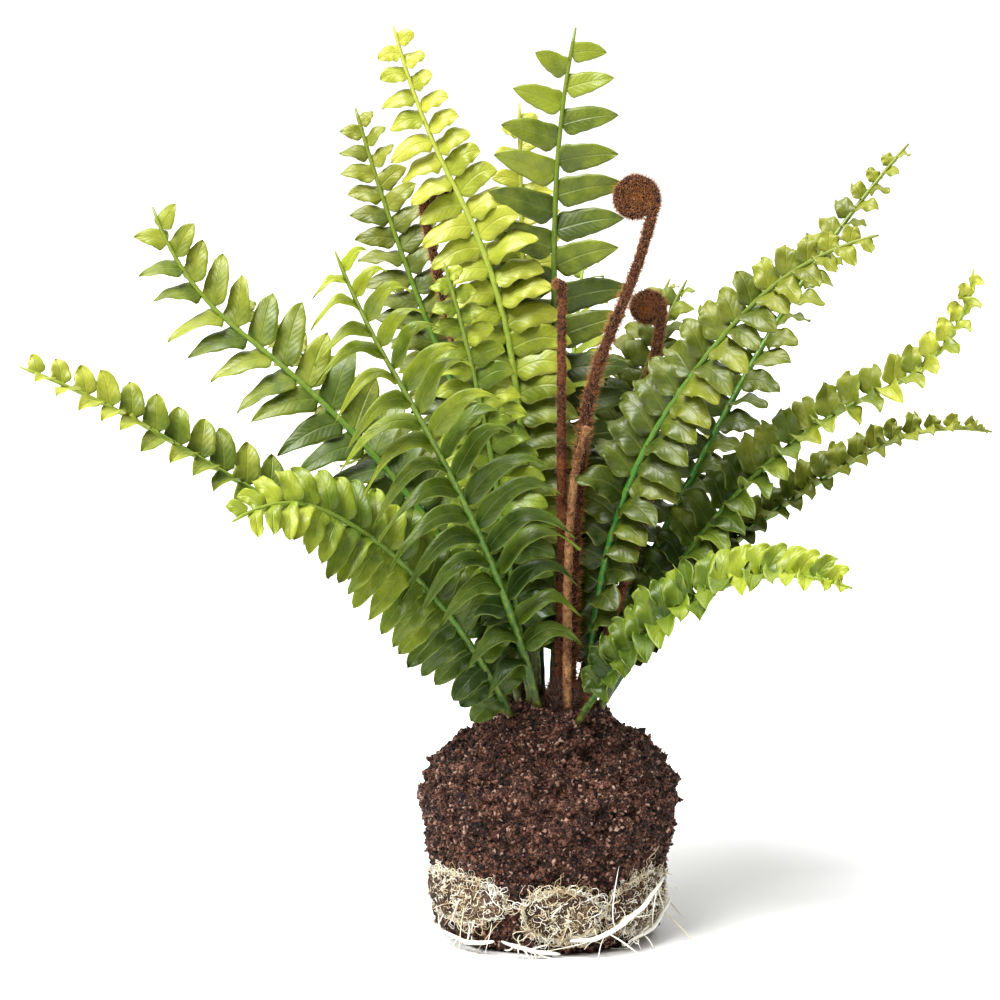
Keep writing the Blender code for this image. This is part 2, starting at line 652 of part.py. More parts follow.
def thick_root_mesh(spec):
    """A round root that runs over the mats, from one point on the ball to another."""
    mat = max(one["thickness"] for one in ROOT_MATS.values())
    offset = ROOT_GAP * 2 + mat + spec["radius"]
    points = []
    radii = []
    for i in range(ROOT_POINTS):
        share = i / (ROOT_POINTS - 1)
        angle = along(spec["angles"], share)
        points.append(ball_point(angle, along(spec["heights"], share), offset))
        radii.append(spec["radius"] * (1 - (1 - ROOT_END) * abs(2 * share - 1) ** 3))
    bm = bmesh.new()
    tube(bm, points, radii, CROSIER_SIDES)
    return bm


# ---- assembly ----

def cut(target, cutter_bm, name):
    mesh = bpy.data.meshes.new(name)
    bmesh.ops.recalc_face_normals(cutter_bm, faces=cutter_bm.faces)
    cutter_bm.to_mesh(mesh)
    cutter = bpy.data.objects.new(name, mesh)
    cutter.hide_render = True
    cutter.display_type = "WIRE"
    bpy.context.scene.collection.objects.link(cutter)
    modifier = target.modifiers.new(name, "BOOLEAN")
    modifier.object = cutter
    modifier.operation = "DIFFERENCE"
    modifier.solver = "EXACT"
    modifier.use_self = True


def build_fronds(obstacles):
    """Grows every frond in turn. Returns each one's buried stem, for its socket."""
    grown = {name: Frond(spec) for name, spec in FRONDS.items()}
    stems = {name: stem_tree(frond.points, frond.radii) for name, frond in grown.items()}
    finished = []
    for name, frond in grown.items():
        others = [tree for other, tree in stems.items() if other != name]
        bm = frond_mesh(frond, obstacles + others + finished)
        finished.append(BVHTree.FromBMesh(bm))
        add_object("frond_" + name, bm, frond.spec["colour"])
        bm.free()
    return grown.values()


def main():
    clear_scene()
    ball = root_ball_mesh()
    soil = add_object("root_ball", ball, "soil")
    crown = crown_mesh()
    rhizome = add_object("rhizome_crown", crown, "crown")
    obstacles = [BVHTree.FromBMesh(ball), BVHTree.FromBMesh(crown)]

    soil_holes = crown_cutter()
    crown_holes = bmesh.new()
    for name, spec in CROSIERS.items():
        points, radii = crosier_points(spec)
        bm = bmesh.new()
        tube(bm, points, radii, CROSIER_SIDES)
        add_object(name, bm, "crosier")
        obstacles.append(stem_tree(points, radii))
        for holes in (soil_holes, crown_holes):
            socket(holes, points, radii[0])
    for frond in build_fronds(obstacles):
        for holes in (soil_holes, crown_holes):
            socket(holes, frond.points, frond.radii[0])
    cut(soil, soil_holes, "soil_sockets")
    cut(rhizome, crown_holes, "crown_sockets")

    for name, spec in ROOT_MATS.items():
        add_object(name, mat_mesh(spec), "root")
    for name, spec in THICK_ROOTS.items():
        add_object(name, thick_root_mesh(spec), "root")


main()
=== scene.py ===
import math

import bmesh
import bpy
import numpy as np
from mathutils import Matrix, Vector, noise
from mathutils.bvhtree import BVHTree


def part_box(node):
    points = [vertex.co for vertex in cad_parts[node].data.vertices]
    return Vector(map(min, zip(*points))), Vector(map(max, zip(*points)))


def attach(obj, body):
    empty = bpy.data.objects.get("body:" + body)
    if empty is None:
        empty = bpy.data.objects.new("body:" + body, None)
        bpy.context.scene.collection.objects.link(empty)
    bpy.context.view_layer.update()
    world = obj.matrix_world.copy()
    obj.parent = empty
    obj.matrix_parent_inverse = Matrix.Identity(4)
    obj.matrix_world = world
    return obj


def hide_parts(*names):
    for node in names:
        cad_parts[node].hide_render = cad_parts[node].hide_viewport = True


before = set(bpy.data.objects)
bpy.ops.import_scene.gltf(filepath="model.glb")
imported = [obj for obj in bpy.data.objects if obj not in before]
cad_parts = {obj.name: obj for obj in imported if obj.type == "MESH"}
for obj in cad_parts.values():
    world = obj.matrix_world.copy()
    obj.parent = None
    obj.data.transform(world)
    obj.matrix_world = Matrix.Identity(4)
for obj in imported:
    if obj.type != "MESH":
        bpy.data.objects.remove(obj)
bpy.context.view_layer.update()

up = Vector((0, 0, 1))
noise.seed_set(1)   # otherwise the clock sets where noise_vector starts


# small helpers


def unit(rows):
    length = np.linalg.norm(rows, axis=-1, keepdims=True)
    return rows / np.maximum(length, 1e-12)


def smooth(low, high, values):
    share = np.clip((values - low) / (high - low), 0, 1)
    return share * share * (3 - 2 * share)


def compass(angle):
    return Vector((math.cos(math.radians(angle)), math.sin(math.radians(angle)), 0))


def readNode(node):
    # the corners of one of the frame's meshes, and for each of them the ones it shares an edge with
    bm = bmesh.new()
    bm.from_mesh(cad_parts[node].data)
    bmesh.ops.remove_doubles(bm, verts=bm.verts, dist=1e-5)
    bm.verts.ensure_lookup_table()
    near = [{edge.other_vert(vert).index for edge in vert.link_edges} for vert in bm.verts]
    places = [vert.co.copy() for vert in bm.verts]
    bm.free()
    return near, places


class MeshPile:
    # gathers grids and tubes, and turns them into one mesh with its colours and maps
    def __init__(self):
        self.points = []
        self.faces = []
        self.grow = []
        self.maps = []
        self.kinds = []
        self.count = 0

    def add(self, points, faces, grow, leafMap=None, kind=0, more=()):
        # more: further faces on the same points, with another number of corners
        self.points.append(np.asarray(points, float).reshape(-1, 3))
        count = len(self.points[-1])
        for some in (faces, more):
            if len(some):
                self.faces.append(np.asarray(some, int) + self.count)
                self.kinds.append(np.full(len(some), kind, int))
        self.grow.append(np.broadcast_to(np.asarray(grow, float), (count, 3)))
        if leafMap is None:
            leafMap = np.zeros((count, 2))
        self.maps.append(np.asarray(leafMap, float).reshape(-1, 2))
        self.count += count

    def build(self, name, materials, slotName, replaced=()):
        points = np.concatenate(self.points)
        mesh = bpy.data.meshes.new(name)
        sizes = np.concatenate([np.full(len(faces), faces.shape[1]) for faces in self.faces])
        corners = np.concatenate([faces.ravel() for faces in self.faces])
        mesh.vertices.add(len(points))
        mesh.vertices.foreach_set("co", points.astype(np.float32).ravel())
        mesh.loops.add(len(corners))
        mesh.loops.foreach_set("vertex_index", corners.astype(np.int32))
        mesh.polygons.add(len(sizes))
        mesh.polygons.foreach_set("loop_start", (np.cumsum(sizes) - sizes).astype(np.int32))
        mesh.update(calc_edges=True)
        mesh.polygons.foreach_set("material_index", np.concatenate(self.kinds).astype(np.int32))
        grow = mesh.attributes.new("grow", "FLOAT_VECTOR", "POINT")
        grow.data.foreach_set("vector", np.concatenate(self.grow).astype(np.float32).ravel())
        leafMap = mesh.uv_layers.new(name="leafMap")
        leafMap.data.foreach_set("uv", np.concatenate(self.maps)[corners].astype(np.float32).ravel())
        for one in materials:
            mesh.materials.append(one)
        mesh.shade_smooth()
        mesh.validate()
        piece = bpy.data.objects.new(name, mesh)
        bpy.context.scene.collection.objects.link(piece)
        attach(piece, "root")
        if replaced:
            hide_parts(*replaced)
        return piece


def gridFaces(rows, columns, closed=False, start=0):
    # quads of a grid of points, stored row by row
    found = []
    across = columns if closed else columns - 1
    for row in range(rows - 1):
        for column in range(across):
            after = (column + 1) % columns
            found.append((start + row * columns + column, start + row * columns + after,
                          start + (row + 1) * columns + after, start + (row + 1) * columns + column))
    return found


def tubeEnds(rows, sides):
    # the two faces that close a tube
    first = np.arange(sides)
    return np.array([first[::-1], first + (rows - 1) * sides])


def tubeRings(centres, radii, sides, rough=None):
    # points of a round tube along the centres, ring by ring
    centres = np.asarray(centres, float)
    ways = unit(np.gradient(centres, axis=0))
    side = np.array(Vector(ways[0]).orthogonal().normalized())
    turns = np.linspace(0, math.tau, sides, endpoint=False)
    rings = []
    for i, (centre, way, radius) in enumerate(zip(centres, ways, radii)):
        side = unit(side - way * np.dot(side, way))
        other = np.cross(way, side)
        ring = centre + radius * (np.cos(turns)[:, None] * side + np.sin(turns)[:, None] * other)
        if rough:
            ring = rough(ring, centre, i)
        rings.append(ring)
    return np.array(rings)


def tubeGrow(count, sides, tone):
    # how far along its tube each point lies, and the tube's own tone
    shares = np.repeat(np.arange(count) / (count - 1), sides)
    return np.stack([shares, np.full(len(shares), tone), np.zeros(len(shares))], axis=1)


# shader nodes

class Nodes:
    def __init__(self, name):
        self.material = bpy.data.materials.new(name)
        self.material.use_nodes = True
        self.tree = self.material.node_tree
        self.shader = self.tree.nodes["Principled BSDF"]

    def plug(self, socket, value):
        if isinstance(value, bpy.types.NodeSocket):
            self.tree.links.new(value, socket)
        elif hasattr(value, "__len__") and len(value) == 3 and socket.type == "RGBA":
            socket.default_value = (*value, 1)
        else:
            socket.default_value = value

    def node(self, kind, **inputs):
        made = self.tree.nodes.new("ShaderNode" + kind)
        for name, value in inputs.items():
            self.plug(made.inputs[name], value)
        return made

    def math(self, operation, *values):
        made = self.tree.nodes.new("ShaderNodeMath")
        made.operation = operation
        for socket, value in zip(made.inputs, values):
            self.plug(socket, value)
        return made.outputs[0]

    def mix(self, factor, first, second):
        made = self.tree.nodes.new("ShaderNodeMix")
        made.data_type = "RGBA"
        self.plug(made.inputs["Factor"], factor)
        self.plug(made.inputs["A"], first)
        self.plug(made.inputs["B"], second)
        return made.outputs["Result"]

    def ramp(self, factor, stops):
        made = self.tree.nodes.new("ShaderNodeValToRGB")
        while len(made.color_ramp.elements) < len(stops):
            made.color_ramp.elements.new(0.5)
        for element, (place, colour) in zip(made.color_ramp.elements, stops):
            element.position = place
            element.color = (*colour, 1)
        self.plug(made.inputs["Fac"], factor)
        return made.outputs["Color"]

    def steps(self, value, low, high, first=0.0, last=1.0):
        made = self.tree.nodes.new("ShaderNodeMapRange")
        made.interpolation_type = "SMOOTHSTEP"
        names = ("Value", "From Min", "From Max", "To Min", "To Max")
        for name, one in zip(names, (value, low, high, first, last)):
            self.plug(made.inputs[name], one)
        return made.outputs["Result"]

    def grain(self, scale, detail=3.0, roughness=0.55):
        made = self.tree.nodes.new("ShaderNodeTexNoise")
        self.plug(made.inputs["Scale"], scale)
        self.plug(made.inputs["Detail"], detail)
        self.plug(made.inputs["Roughness"], roughness)
        place = self.tree.nodes.new("ShaderNodeTexCoord").outputs["Object"]
        self.tree.links.new(place, made.inputs["Vector"])
        return made.outputs["Fac"]

    def growth(self):
        made = self.tree.nodes.new("ShaderNodeAttribute")
        made.attribute_name = "grow"
        split = self.tree.nodes.new("ShaderNodeSeparateXYZ")
        self.tree.links.new(made.outputs["Vector"], split.inputs["Vector"])
        return split.outputs

    def leafMap(self):
        made = self.tree.nodes.new("ShaderNodeUVMap")
        made.uv_map = "leafMap"
        split = self.tree.nodes.new("ShaderNodeSeparateXYZ")
        self.tree.links.new(made.outputs["UV"], split.inputs["Vector"])
        return split.outputs["X"], split.outputs["Y"]

    def more(self, value, off, times):
        # how far a value is from its middle, made larger or smaller
        return self.math("MULTIPLY", self.math("SUBTRACT", value, off), times)

    def blend(self, first, firstShare, second, secondShare):
        return self.math("ADD", self.math("MULTIPLY", first, firstShare),
                         self.math("MULTIPLY", second, secondShare))

    def tint(self, mask, share, colour, other):
        return self.mix(self.math("MULTIPLY", mask, share), colour, other)

    def surface(self, colour, roughness):
        self.plug(self.shader.inputs["Base Color"], colour)
        self.plug(self.shader.inputs["Roughness"], roughness)

    def bump(self, height, distance, strength=1.0):
        made = self.node("Bump", Height=height, Distance=distance, Strength=strength)
        self.tree.links.new(made.outputs["Normal"], self.shader.inputs["Normal"])


# fronds: every leaflet of the frame is grown again as a thin, veined, wavy blade on a round stem

# tone, tip shape (0 round, 1 drawn out), blunt (how far out a blade stays wide), wave of its edges,
# cup of its edges, fold at its midrib, arch, curl of its end, width against the frame's, turn in degrees
usualBlade = dict(point=0.35, blunt=0.46, wave=0.15, cup=0.14, fold=0.14, arch=0.03, curl=0.20,
                  wide=1.16, turn=14)
frondLooks = {
    "tall": dict(tone="deep", point=0.55, blunt=0.40, wave=0.07, cup=0.06, fold=0.10, arch=0.02, curl=0.10,
                 wide=1.10, turn=8),
    "tall_left": dict(tone="lime", point=0.20, blunt=0.52, wave=0.13, cup=0.16, fold=0.10, arch=0.04,
                      curl=0.22, wide=1.20, turn=12),
    "front": dict(tone="fresh", point=0.95, blunt=0.24, wave=0.18, cup=0.16, arch=0.15, wide=0.86),
    "front_left": dict(tone="fresh", point=0.12, blunt=0.58, wave=0.22, fold=0.26, arch=0.07, curl=0.10,
                       wide=0.98, turn=24),
    "left": dict(tone="young", point=0.62, blunt=0.36, wave=0.08, cup=0.08, fold=0.12, curl=0.10, wide=1.14,
                 turn=10),
    "low_left": dict(tone="leaf", point=0.55, blunt=0.34, wave=0.10, cup=-0.06, fold=0.22, curl=0.12,
                     wide=1.05, turn=12),
    "left_back": dict(tone="olive", blunt=0.45, wave=0.18, wide=1.12, turn=16),
    "inner_left": dict(tone="fresh", wave=0.18, cup=0.18, fold=0.12, arch=0.04, curl=0.28, wide=1.18),
    "back_left": dict(tone="olive", point=0.45, blunt=0.40, wave=0.12, cup=0.12, fold=0.12, arch=0.02,
                      curl=0.18, wide=1.12, turn=12),
    "back": dict(tone="lime", point=0.40, blunt=0.45, wave=0.10, cup=0.12, fold=0.10, arch=0.02, curl=0.16,
                 wide=1.15, turn=12),
    "right": dict(tone="olive", point=0.25, blunt=0.52, wave=0.20, cup=0.06, wide=1.20, turn=16),
    "right_back": dict(tone="olive", wave=0.18, cup=0.10, curl=0.18, wide=1.18, turn=16),
    "low_right": dict(tone="leaf", point=0.45, wave=0.22, cup=-0.12, fold=0.22, wide=1.15, turn=24),
    "lowest_right": dict(tone="olive", point=0.40, wave=0.22, cup=-0.12, fold=0.24, arch=0.02, curl=0.18,
                         wide=1.15, turn=22),
    "front_right": dict(tone="fresh", point=0.45, wave=0.20, cup=-0.08, fold=0.26, curl=0.24, wide=1.15,
                        turn=20),
    "back_right": dict(tone="olive", point=0.30, blunt=0.48, wave=0.20, cup=0.12, curl=0.22, wide=1.20,
                       turn=16),
    "inner_back": dict(tone="fresh", fold=0.12, wide=1.18),
    "inner_right": dict(tone="deep", fold=0.12, wide=1.18),
    "rear_left": dict(tone="olive"),
    "rear": dict(tone="fresh", point=0.55, blunt=0.36, wave=0.13, arch=0.05, curl=0.24, wide=1.12, turn=12),
    "rear_low": dict(tone="fresh", point=0.40, fold=0.16, arch=0.04, curl=0.22),
    "rear_low_left": dict(tone="deep", arch=0.04, curl=0.22),
    "rear_low_right": dict(tone="olive", arch=0.04, curl=0.22),
}
# blade colour at the foot, middle and tip of a frond, then its edges' and the stem's; the pale tip colour
# partly paints the glow of back-light through the thin leaflets
leafTones = {
    "deep": dict(foot=(0.016, 0.034, 0.003), middle=(0.066, 0.096, 0.008),
                 tip=(0.230, 0.275, 0.020), edge=(0.190, 0.240, 0.026), stem=(0.030, 0.110, 0.016)),
    "lime": dict(foot=(0.060, 0.100, 0.006), middle=(0.270, 0.315, 0.024),
                 tip=(0.440, 0.450, 0.050), edge=(0.500, 0.510, 0.100), stem=(0.180, 0.320, 0.036)),
    "fresh": dict(foot=(0.026, 0.058, 0.003), middle=(0.115, 0.170, 0.010),
                  tip=(0.330, 0.380, 0.028), edge=(0.260, 0.330, 0.040), stem=(0.080, 0.190, 0.024)),
    "leaf": dict(foot=(0.026, 0.056, 0.004), middle=(0.120, 0.165, 0.014),
                 tip=(0.400, 0.420, 0.050), edge=(0.300, 0.360, 0.060), stem=(0.090, 0.210, 0.026)),
    "young": dict(foot=(0.022, 0.050, 0.003), middle=(0.080, 0.120, 0.008),
                  tip=(0.290, 0.320, 0.032), edge=(0.240, 0.300, 0.040), stem=(0.070, 0.190, 0.024)),
    "olive": dict(foot=(0.022, 0.040, 0.003), middle=(0.092, 0.118, 0.009),
                  tip=(0.250, 0.270, 0.024), edge=(0.220, 0.250, 0.034), stem=(0.040, 0.190, 0.028)),
}
leaflet = dict(rows=20, columns=8, thickness=0.00034, edgeThickness=0.00016, midrib=0.00026,
               belly=0.4, scallops=4.5, scallopDepth=0.022, ear=0.14, veinGap=0.0026, veinSlope=2.2,
               paleEnd=0.26, smallHalf=0.0045, plainHalf=0.0026, sickle=0.10, gravity=0.55)
rachis = dict(sides=10, thicker=1.38, knobs=0.10)
# how much each thing shows in a blade's colour (rim is a painted highlight along the leaflet edges), and
# then in its relief
bladeShades = dict(mottle=0.75, ownTone=0.42, veins=0.10, midrib=0.14, rim=0.50, underside=0.30)
bladeRelief = dict(quilt=0.22, fine=0.12, midrib=0.6, puckers=0.9, depth=0.00026)


def readFrond(node):
    # the frame's stem as rings from foot to tip, and its leaflets
    near, places = readNode(node)
    blades = []
    stemTip = None
    for i, around in enumerate(near):
        if len(around) != 3:
            continue
        roots = set().union(*(near[j] for j in around)) - around - {i}
        if len(roots) == 4:
            blades.append((i, around, roots))
        elif stemTip is None or places[i].z > places[stemTip].z:
            stemTip = i
    leafy = {i for i, around, roots in blades} | {j for i, around, roots in blades for j in around}
    level = {stemTip: 0}
    layer = {stemTip}
    rings = [places[stemTip]]
    radii = [0.0]
    while layer:
        layer = set().union(*(near[i] for i in layer)) - leafy - set(level)
        if not layer:
            break
        for i in layer:
            level[i] = len(rings)
        centre = sum((places[i] for i in layer), Vector()) / len(layer)
        rings.append(centre)
        radii.append(sum((places[i] - centre).length for i in layer) / len(layer))
    last = len(rings) - 1
    rings.reverse()
    radii.reverse()
    found = []
    for tip, around, roots in blades:
        rows = {j: [level[k] for k in near[j] & roots] for j in around}
        apical = max(around, key=lambda j: len(rows[j]))
        ridge = next((j for j in around if j != apical and len(set(rows[j])) == 2), None)
        basal = next((j for j in around if j not in (apical, ridge)), None)
        if ridge is None:
            continue
        at = last - max(level[k] for k in roots)
        root = (rings[at] + rings[at + 1]) / 2
        middle = (places[basal] + places[apical]) / 2
        found.append(dict(root=root, belly=middle, tip=places[tip], ring=at,
                          half=(places[apical] - places[basal]) / 2,
                          normal=(places[ridge] - middle).normalized()))
    return rings, radii, found


def bladeOutline(share, look, notches):
    # half width along a leaflet: a quick start at its foot, a wide belly, and a round or drawn-out tip
    start = (1 - (1 - np.clip(share / 0.15, 0, 1)) ** 2) ** 0.55
    past = np.clip((share - look["blunt"] * 0.6) / (1 - look["blunt"] * 0.6), 0, 1)
    sharpness = 3.2 - 1.5 * look["point"]
    fall = (1 - past ** sharpness) ** (0.55 + 0.65 * look["point"])
    width = np.maximum(start * fall, 0.12 * (share < 0.5))
    return width * (1 + leaflet["scallopDepth"] * notches)


def leafletLine(blade, look, share, rng):
    # the leaflet's middle line through its root, belly and tip, with an arch and a drooping end
    root, belly, tip = (np.array(blade[part]) for part in ("root", "belly", "tip"))
    length = np.linalg.norm(belly - root) + np.linalg.norm(tip - belly)
    knee = leaflet["belly"]
    line = ((share - knee) * (share - 1) / knee)[:, None] * root
    line = line + (share * (share - 1) / (knee * (knee - 1)))[:, None] * belly
    line = line + (share * (share - knee) / (1 - knee))[:, None] * tip
    gravity = leaflet["gravity"]
    down = unit((np.array((0, 0, 1.0)) * gravity + np.array(blade["normal"]) * (1 - gravity))[None])[0]
    arch = look["arch"] * (0.6 + 0.8 * rng.random()) * length * np.sin(math.pi * share)
    curl = look["curl"] * (0.5 + rng.random()) * length * np.maximum(share - 0.38, 0) ** 1.7
    line = line + down * (arch - curl)[:, None]
    sway = unit(np.array(blade["half"])[None])[0]
    sickle = leaflet["sickle"] * (0.3 + 1.2 * rng.random()) * length
    return line + sway * (sickle * (share ** 2 - share * 0.6))[:, None]


def leafletGrid(blade, look, rng):
    # both skins of one leaflet, as a closed ring of points for each row
    rows, columns = leaflet["rows"], leaflet["columns"]
    share = np.linspace(0, 1, rows + 1) ** 0.92
    line = leafletLine(blade, look, share, rng)
    half = np.array(blade["half"])
    halfWidth = np.linalg.norm(half) * look["wide"]
    ways = unit(np.gradient(line, axis=0))
    across = unit(half - ways * (ways @ half)[:, None])
    normals = np.cross(ways, across)
    hand = 1 if (normals @ np.array(blade["normal"])).sum() > 0 else -1
    normals = normals * hand
    ownTurn = rng.normal() * 0.8 * share ** 1.3
    swing = 0.8 * np.sin(share * (3 + 3 * rng.random()) + rng.random() * 6)
    turn = math.radians(look["turn"]) * (ownTurn + swing)
    across, normals = (across * np.cos(turn)[:, None] + normals * np.sin(turn)[:, None],
                       normals * np.cos(turn)[:, None] - across * np.sin(turn)[:, None])
    v = np.linspace(-1, 1, columns + 1)
    phase = rng.random(2) * 6.283   # about one full turn
    waves = 1.2 + 1.2 * rng.random()
    outline, ripple = [], []
    for side in (0, 1):
        notch = np.cos(share * leaflet["scallops"] * 6.283 + phase[side])
        ear = leaflet["ear"] * np.exp(-((share - 0.16) / 0.09) ** 2) * (1 if side else 0.4)
        outline.append(bladeOutline(share, look, notch) * (1 + ear) * halfWidth)
        ripple.append(look["wave"] * np.sin(share * waves * 6.283 + phase[side]) * halfWidth)
    outline, ripple = np.array(outline), np.array(ripple)
    side = (v > 0).astype(int)
    reach = outline[side].T * np.abs(v)
    lift = ripple[side].T * np.abs(v) ** 1.6 - look["cup"] * reach * np.abs(v) ** 1.2
    crease = np.sqrt(v ** 2 + 0.02) - 0.141
    lift = lift + look["fold"] * halfWidth * crease * smooth(0, 0.2, share)[:, None]
    across3, normal3 = across[:, None, :], normals[:, None, :]
    sheet = line[:, None, :] + across3 * (reach * np.sign(v))[..., None] + normal3 * lift[..., None]
    size = min(1.0, halfWidth / leaflet["smallHalf"])
    rim, middle = leaflet["edgeThickness"], leaflet["thickness"]
    thick = rim + (middle - rim) * (1 - np.abs(v) ** 3)
    thick = thick * (0.5 + 0.5 * size)
    rib = leaflet["midrib"] * size * np.exp(-(v / 0.16) ** 2) * (1 - 0.8 * share)[:, None]
    top = sheet + normal3 * (thick / 2)[None, :, None]
    under = sheet - normal3 * ((thick / 2)[None, :] + rib)[..., None]
    ring = np.concatenate([top, under[:, ::-1]], axis=1)
    # the smallest leaflets keep clear of the midrib's end of the map, so they stay plain
    plain = min(1.0, halfWidth / leaflet["plainHalf"])
    marks = np.where(v < 0, -1, 1) * (1 - (1 - np.abs(v)) * plain)
    mapV = np.concatenate([marks, marks[::-1]]) * 0.5 + 0.5
    under = np.concatenate([np.zeros(columns + 1), np.ones(columns + 1)])
    along = np.broadcast_to(share[:, None], ring.shape[:2]).ravel()
    mapV, under = (np.broadcast_to(row, ring.shape[:2]).ravel() for row in (mapV, under))
    return ring, along, mapV, under, hand


def leafletFaces():
    rows, around = leaflet["rows"] + 1, 2 * leaflet["columns"] + 2
    faces = gridFaces(rows, around, closed=True)
    columns = leaflet["columns"] + 1
    for start, turned in ((0, False), ((rows - 1) * around, True)):
        for i in range(columns - 1):
            quad = (start + i, start + i + 1, start + around - 2 - i, start + around - 1 - i)
            faces.append(quad if turned else quad[::-1])
    return np.array(faces)


def growFrond(name, look, materials):
    rings, radii, blades = readFrond("frond_" + name)
    rng = np.random.default_rng(sum(map(ord, name)))
    pile = MeshPile()
    faces = leafletFaces()
    last = len(rings) - 1
    for blade in blades:
        grid, along, mapV, under, hand = leafletGrid(blade, look, rng)
        length = (blade["tip"] - blade["root"]).length
        place = blade["ring"] / last + leaflet["paleEnd"] * (along - 0.45)
        grow = np.stack([place, np.full(len(along), rng.random()), under], axis=1)
        veins = along * length / leaflet["veinGap"]
        pile.add(grid, faces[:, ::-hand], grow, np.stack([veins, mapV], axis=1))
    sides = rachis["sides"]
    thick = [radius * rachis["thicker"] * (1 + rachis["knobs"] * (i % 2)) for i, radius in enumerate(radii)]
    thick[-1] = thick[-2] * 0.5
    tube = tubeRings(rings, thick, sides)
    grow = tubeGrow(len(rings), sides, 0.5)
    turn = np.tile(np.arange(sides) / sides, len(rings))
    faces = gridFaces(len(rings), sides, closed=True)
    pile.add(tube, faces, grow, np.stack([grow[:, 0], turn], axis=1), 1, tubeEnds(len(rings), sides))
    return pile.build("leaves_" + name, materials, "fern_leaf", ["frond_" + name])


def bladeMaterial(tone):
    tones, shade, relief = leafTones[tone], bladeShades, bladeRelief
    nodes = Nodes("fernBlade_" + tone)
    grow = nodes.growth()
    u, v = nodes.leafMap()
    out = nodes.math("ABSOLUTE", nodes.math("SUBTRACT", nodes.math("MULTIPLY", v, 2.0), 1.0))
    mottle = nodes.grain(140, 4, 0.6)
    place = nodes.math("ADD", grow["X"], nodes.more(mottle, 0.5, shade["mottle"]))
    place = nodes.math("ADD", place, nodes.more(grow["Y"], 0.5, shade["ownTone"]))
    # painted light: the ramp's pale tip colour stands partly for back-light glowing through the leaflets
    colour = nodes.ramp(place, ((0.05, tones["foot"]), (0.52, tones["middle"]), (1.0, tones["tip"])))
    feather = nodes.math("SUBTRACT", u, nodes.math("MULTIPLY", out, leaflet["veinSlope"]))
    feather = nodes.math("PINGPONG", feather, 0.5)
    fade = nodes.math("MULTIPLY", nodes.steps(out, 0.60, 1.0, 1.0, 0.0), nodes.steps(out, 0.0, 0.15))
    veinLine = nodes.math("MULTIPLY", nodes.steps(feather, 0.0, 0.16, 1.0, 0.0), fade)
    midrib = nodes.steps(out, 0.02, 0.10, 1.0, 0.0)
    dark = tuple(part * 0.45 for part in tones["middle"])
    colour = nodes.tint(veinLine, shade["veins"], colour, dark)
    colour = nodes.tint(midrib, shade["midrib"], colour, tones["edge"])
    # painted highlight: the outer rim of every leaflet is lightened toward the edge colour
    colour = nodes.tint(nodes.steps(out, 0.84, 1.0), shade["rim"], colour, tones["edge"])
    colour = nodes.tint(grow["Z"], shade["underside"], colour, tones["edge"])
    nodes.surface(colour, nodes.math("ADD", 0.26, nodes.blend(mottle, 0.34, grow["Z"], 0.2)))
    quilt = nodes.math("MULTIPLY", nodes.steps(feather, 0.0, 0.40), fade)
    height = nodes.blend(quilt, relief["quilt"], nodes.grain(700, 3), relief["fine"])
    height = nodes.math("SUBTRACT", height, nodes.math("MULTIPLY", midrib, relief["midrib"]))
    height = nodes.math("ADD", height, nodes.math("MULTIPLY", nodes.grain(220, 2), relief["puckers"]))
    nodes.bump(height, relief["depth"], 0.8)
    return nodes.material


def rachisMaterial(tone):
    tones = leafTones[tone]
    nodes = Nodes("fernRachis_" + tone)
    streaks = nodes.grain(420, 3)
    dark = tuple(part * 0.5 for part in tones["stem"])
    stops = ((0.02, (0.10, 0.09, 0.02)), (0.08, dark), (0.35, tones["stem"]), (1.0, tones["edge"]))
    colour = nodes.ramp(nodes.growth()["X"], stops)
    colour = nodes.mix(nodes.steps(streaks, 0.42, 0.70, 0.0, 0.55), colour, tones["edge"])
    nodes.surface(colour, 0.36)
    nodes.bump(streaks, 0.0004, 0.8)
    return nodes.material


def makeFronds():
    blades = {tone: bladeMaterial(tone) for tone in leafTones}
    stems = {tone: rachisMaterial(tone) for tone in leafTones}
    for name, look in frondLooks.items():
        growFrond(name, {**usualBlade, **look}, [blades[look["tone"]], stems[look["tone"]]])
        print("frond", name, "grown")


# crosiers, stubs and the rhizome crown: woody stems under reddish fuzz

usualCrosier = dict(hairLength=0.0026, tone="russet", wobble=0.12, turns=3.0, headHairs=2400)
crosierLooks = {
    "crosier_tall": dict(piece="tallCrosier", hairs=9500, wobble=0.10, turns=3.4, headHairs=3000),
    "crosier_hooked": dict(piece="hookedCrosier", hairs=2600, hairLength=0.0013, tone="bark", wobble=0.30,
                           turns=0, headHairs=500),
    "crosier_right": dict(piece="rightCrosier", hairs=6500),
    "crosier_left": dict(piece="leftCrosier", hairs=6800),
    "stub_pale": dict(piece="paleStub", hairs=500, hairLength=0.0010, tone="tan", wobble=0.28, turns=0,
                      headHairs=60),
    "stub_right": dict(piece="rightStub", hairs=1000, hairLength=0.0013, tone="bark", wobble=0.26, turns=0,
                       headHairs=100),
}
crosierTones = {
    "russet": dict(dark=(0.016, 0.004, 0.002), lit=(0.150, 0.040, 0.010),
                   hairFoot=(0.110, 0.026, 0.006), hairTip=(0.560, 0.220, 0.040)),
    "bark": dict(dark=(0.030, 0.008, 0.003), lit=(0.360, 0.120, 0.040),
                 hairFoot=(0.090, 0.026, 0.010), hairTip=(0.480, 0.200, 0.060)),
    "tan": dict(dark=(0.110, 0.036, 0.012), lit=(0.640, 0.350, 0.150),
                hairFoot=(0.200, 0.080, 0.030), hairTip=(0.560, 0.320, 0.130)),
}
hair = dict(width=0.00010, sides=3, lean=0.50, curl=0.5)
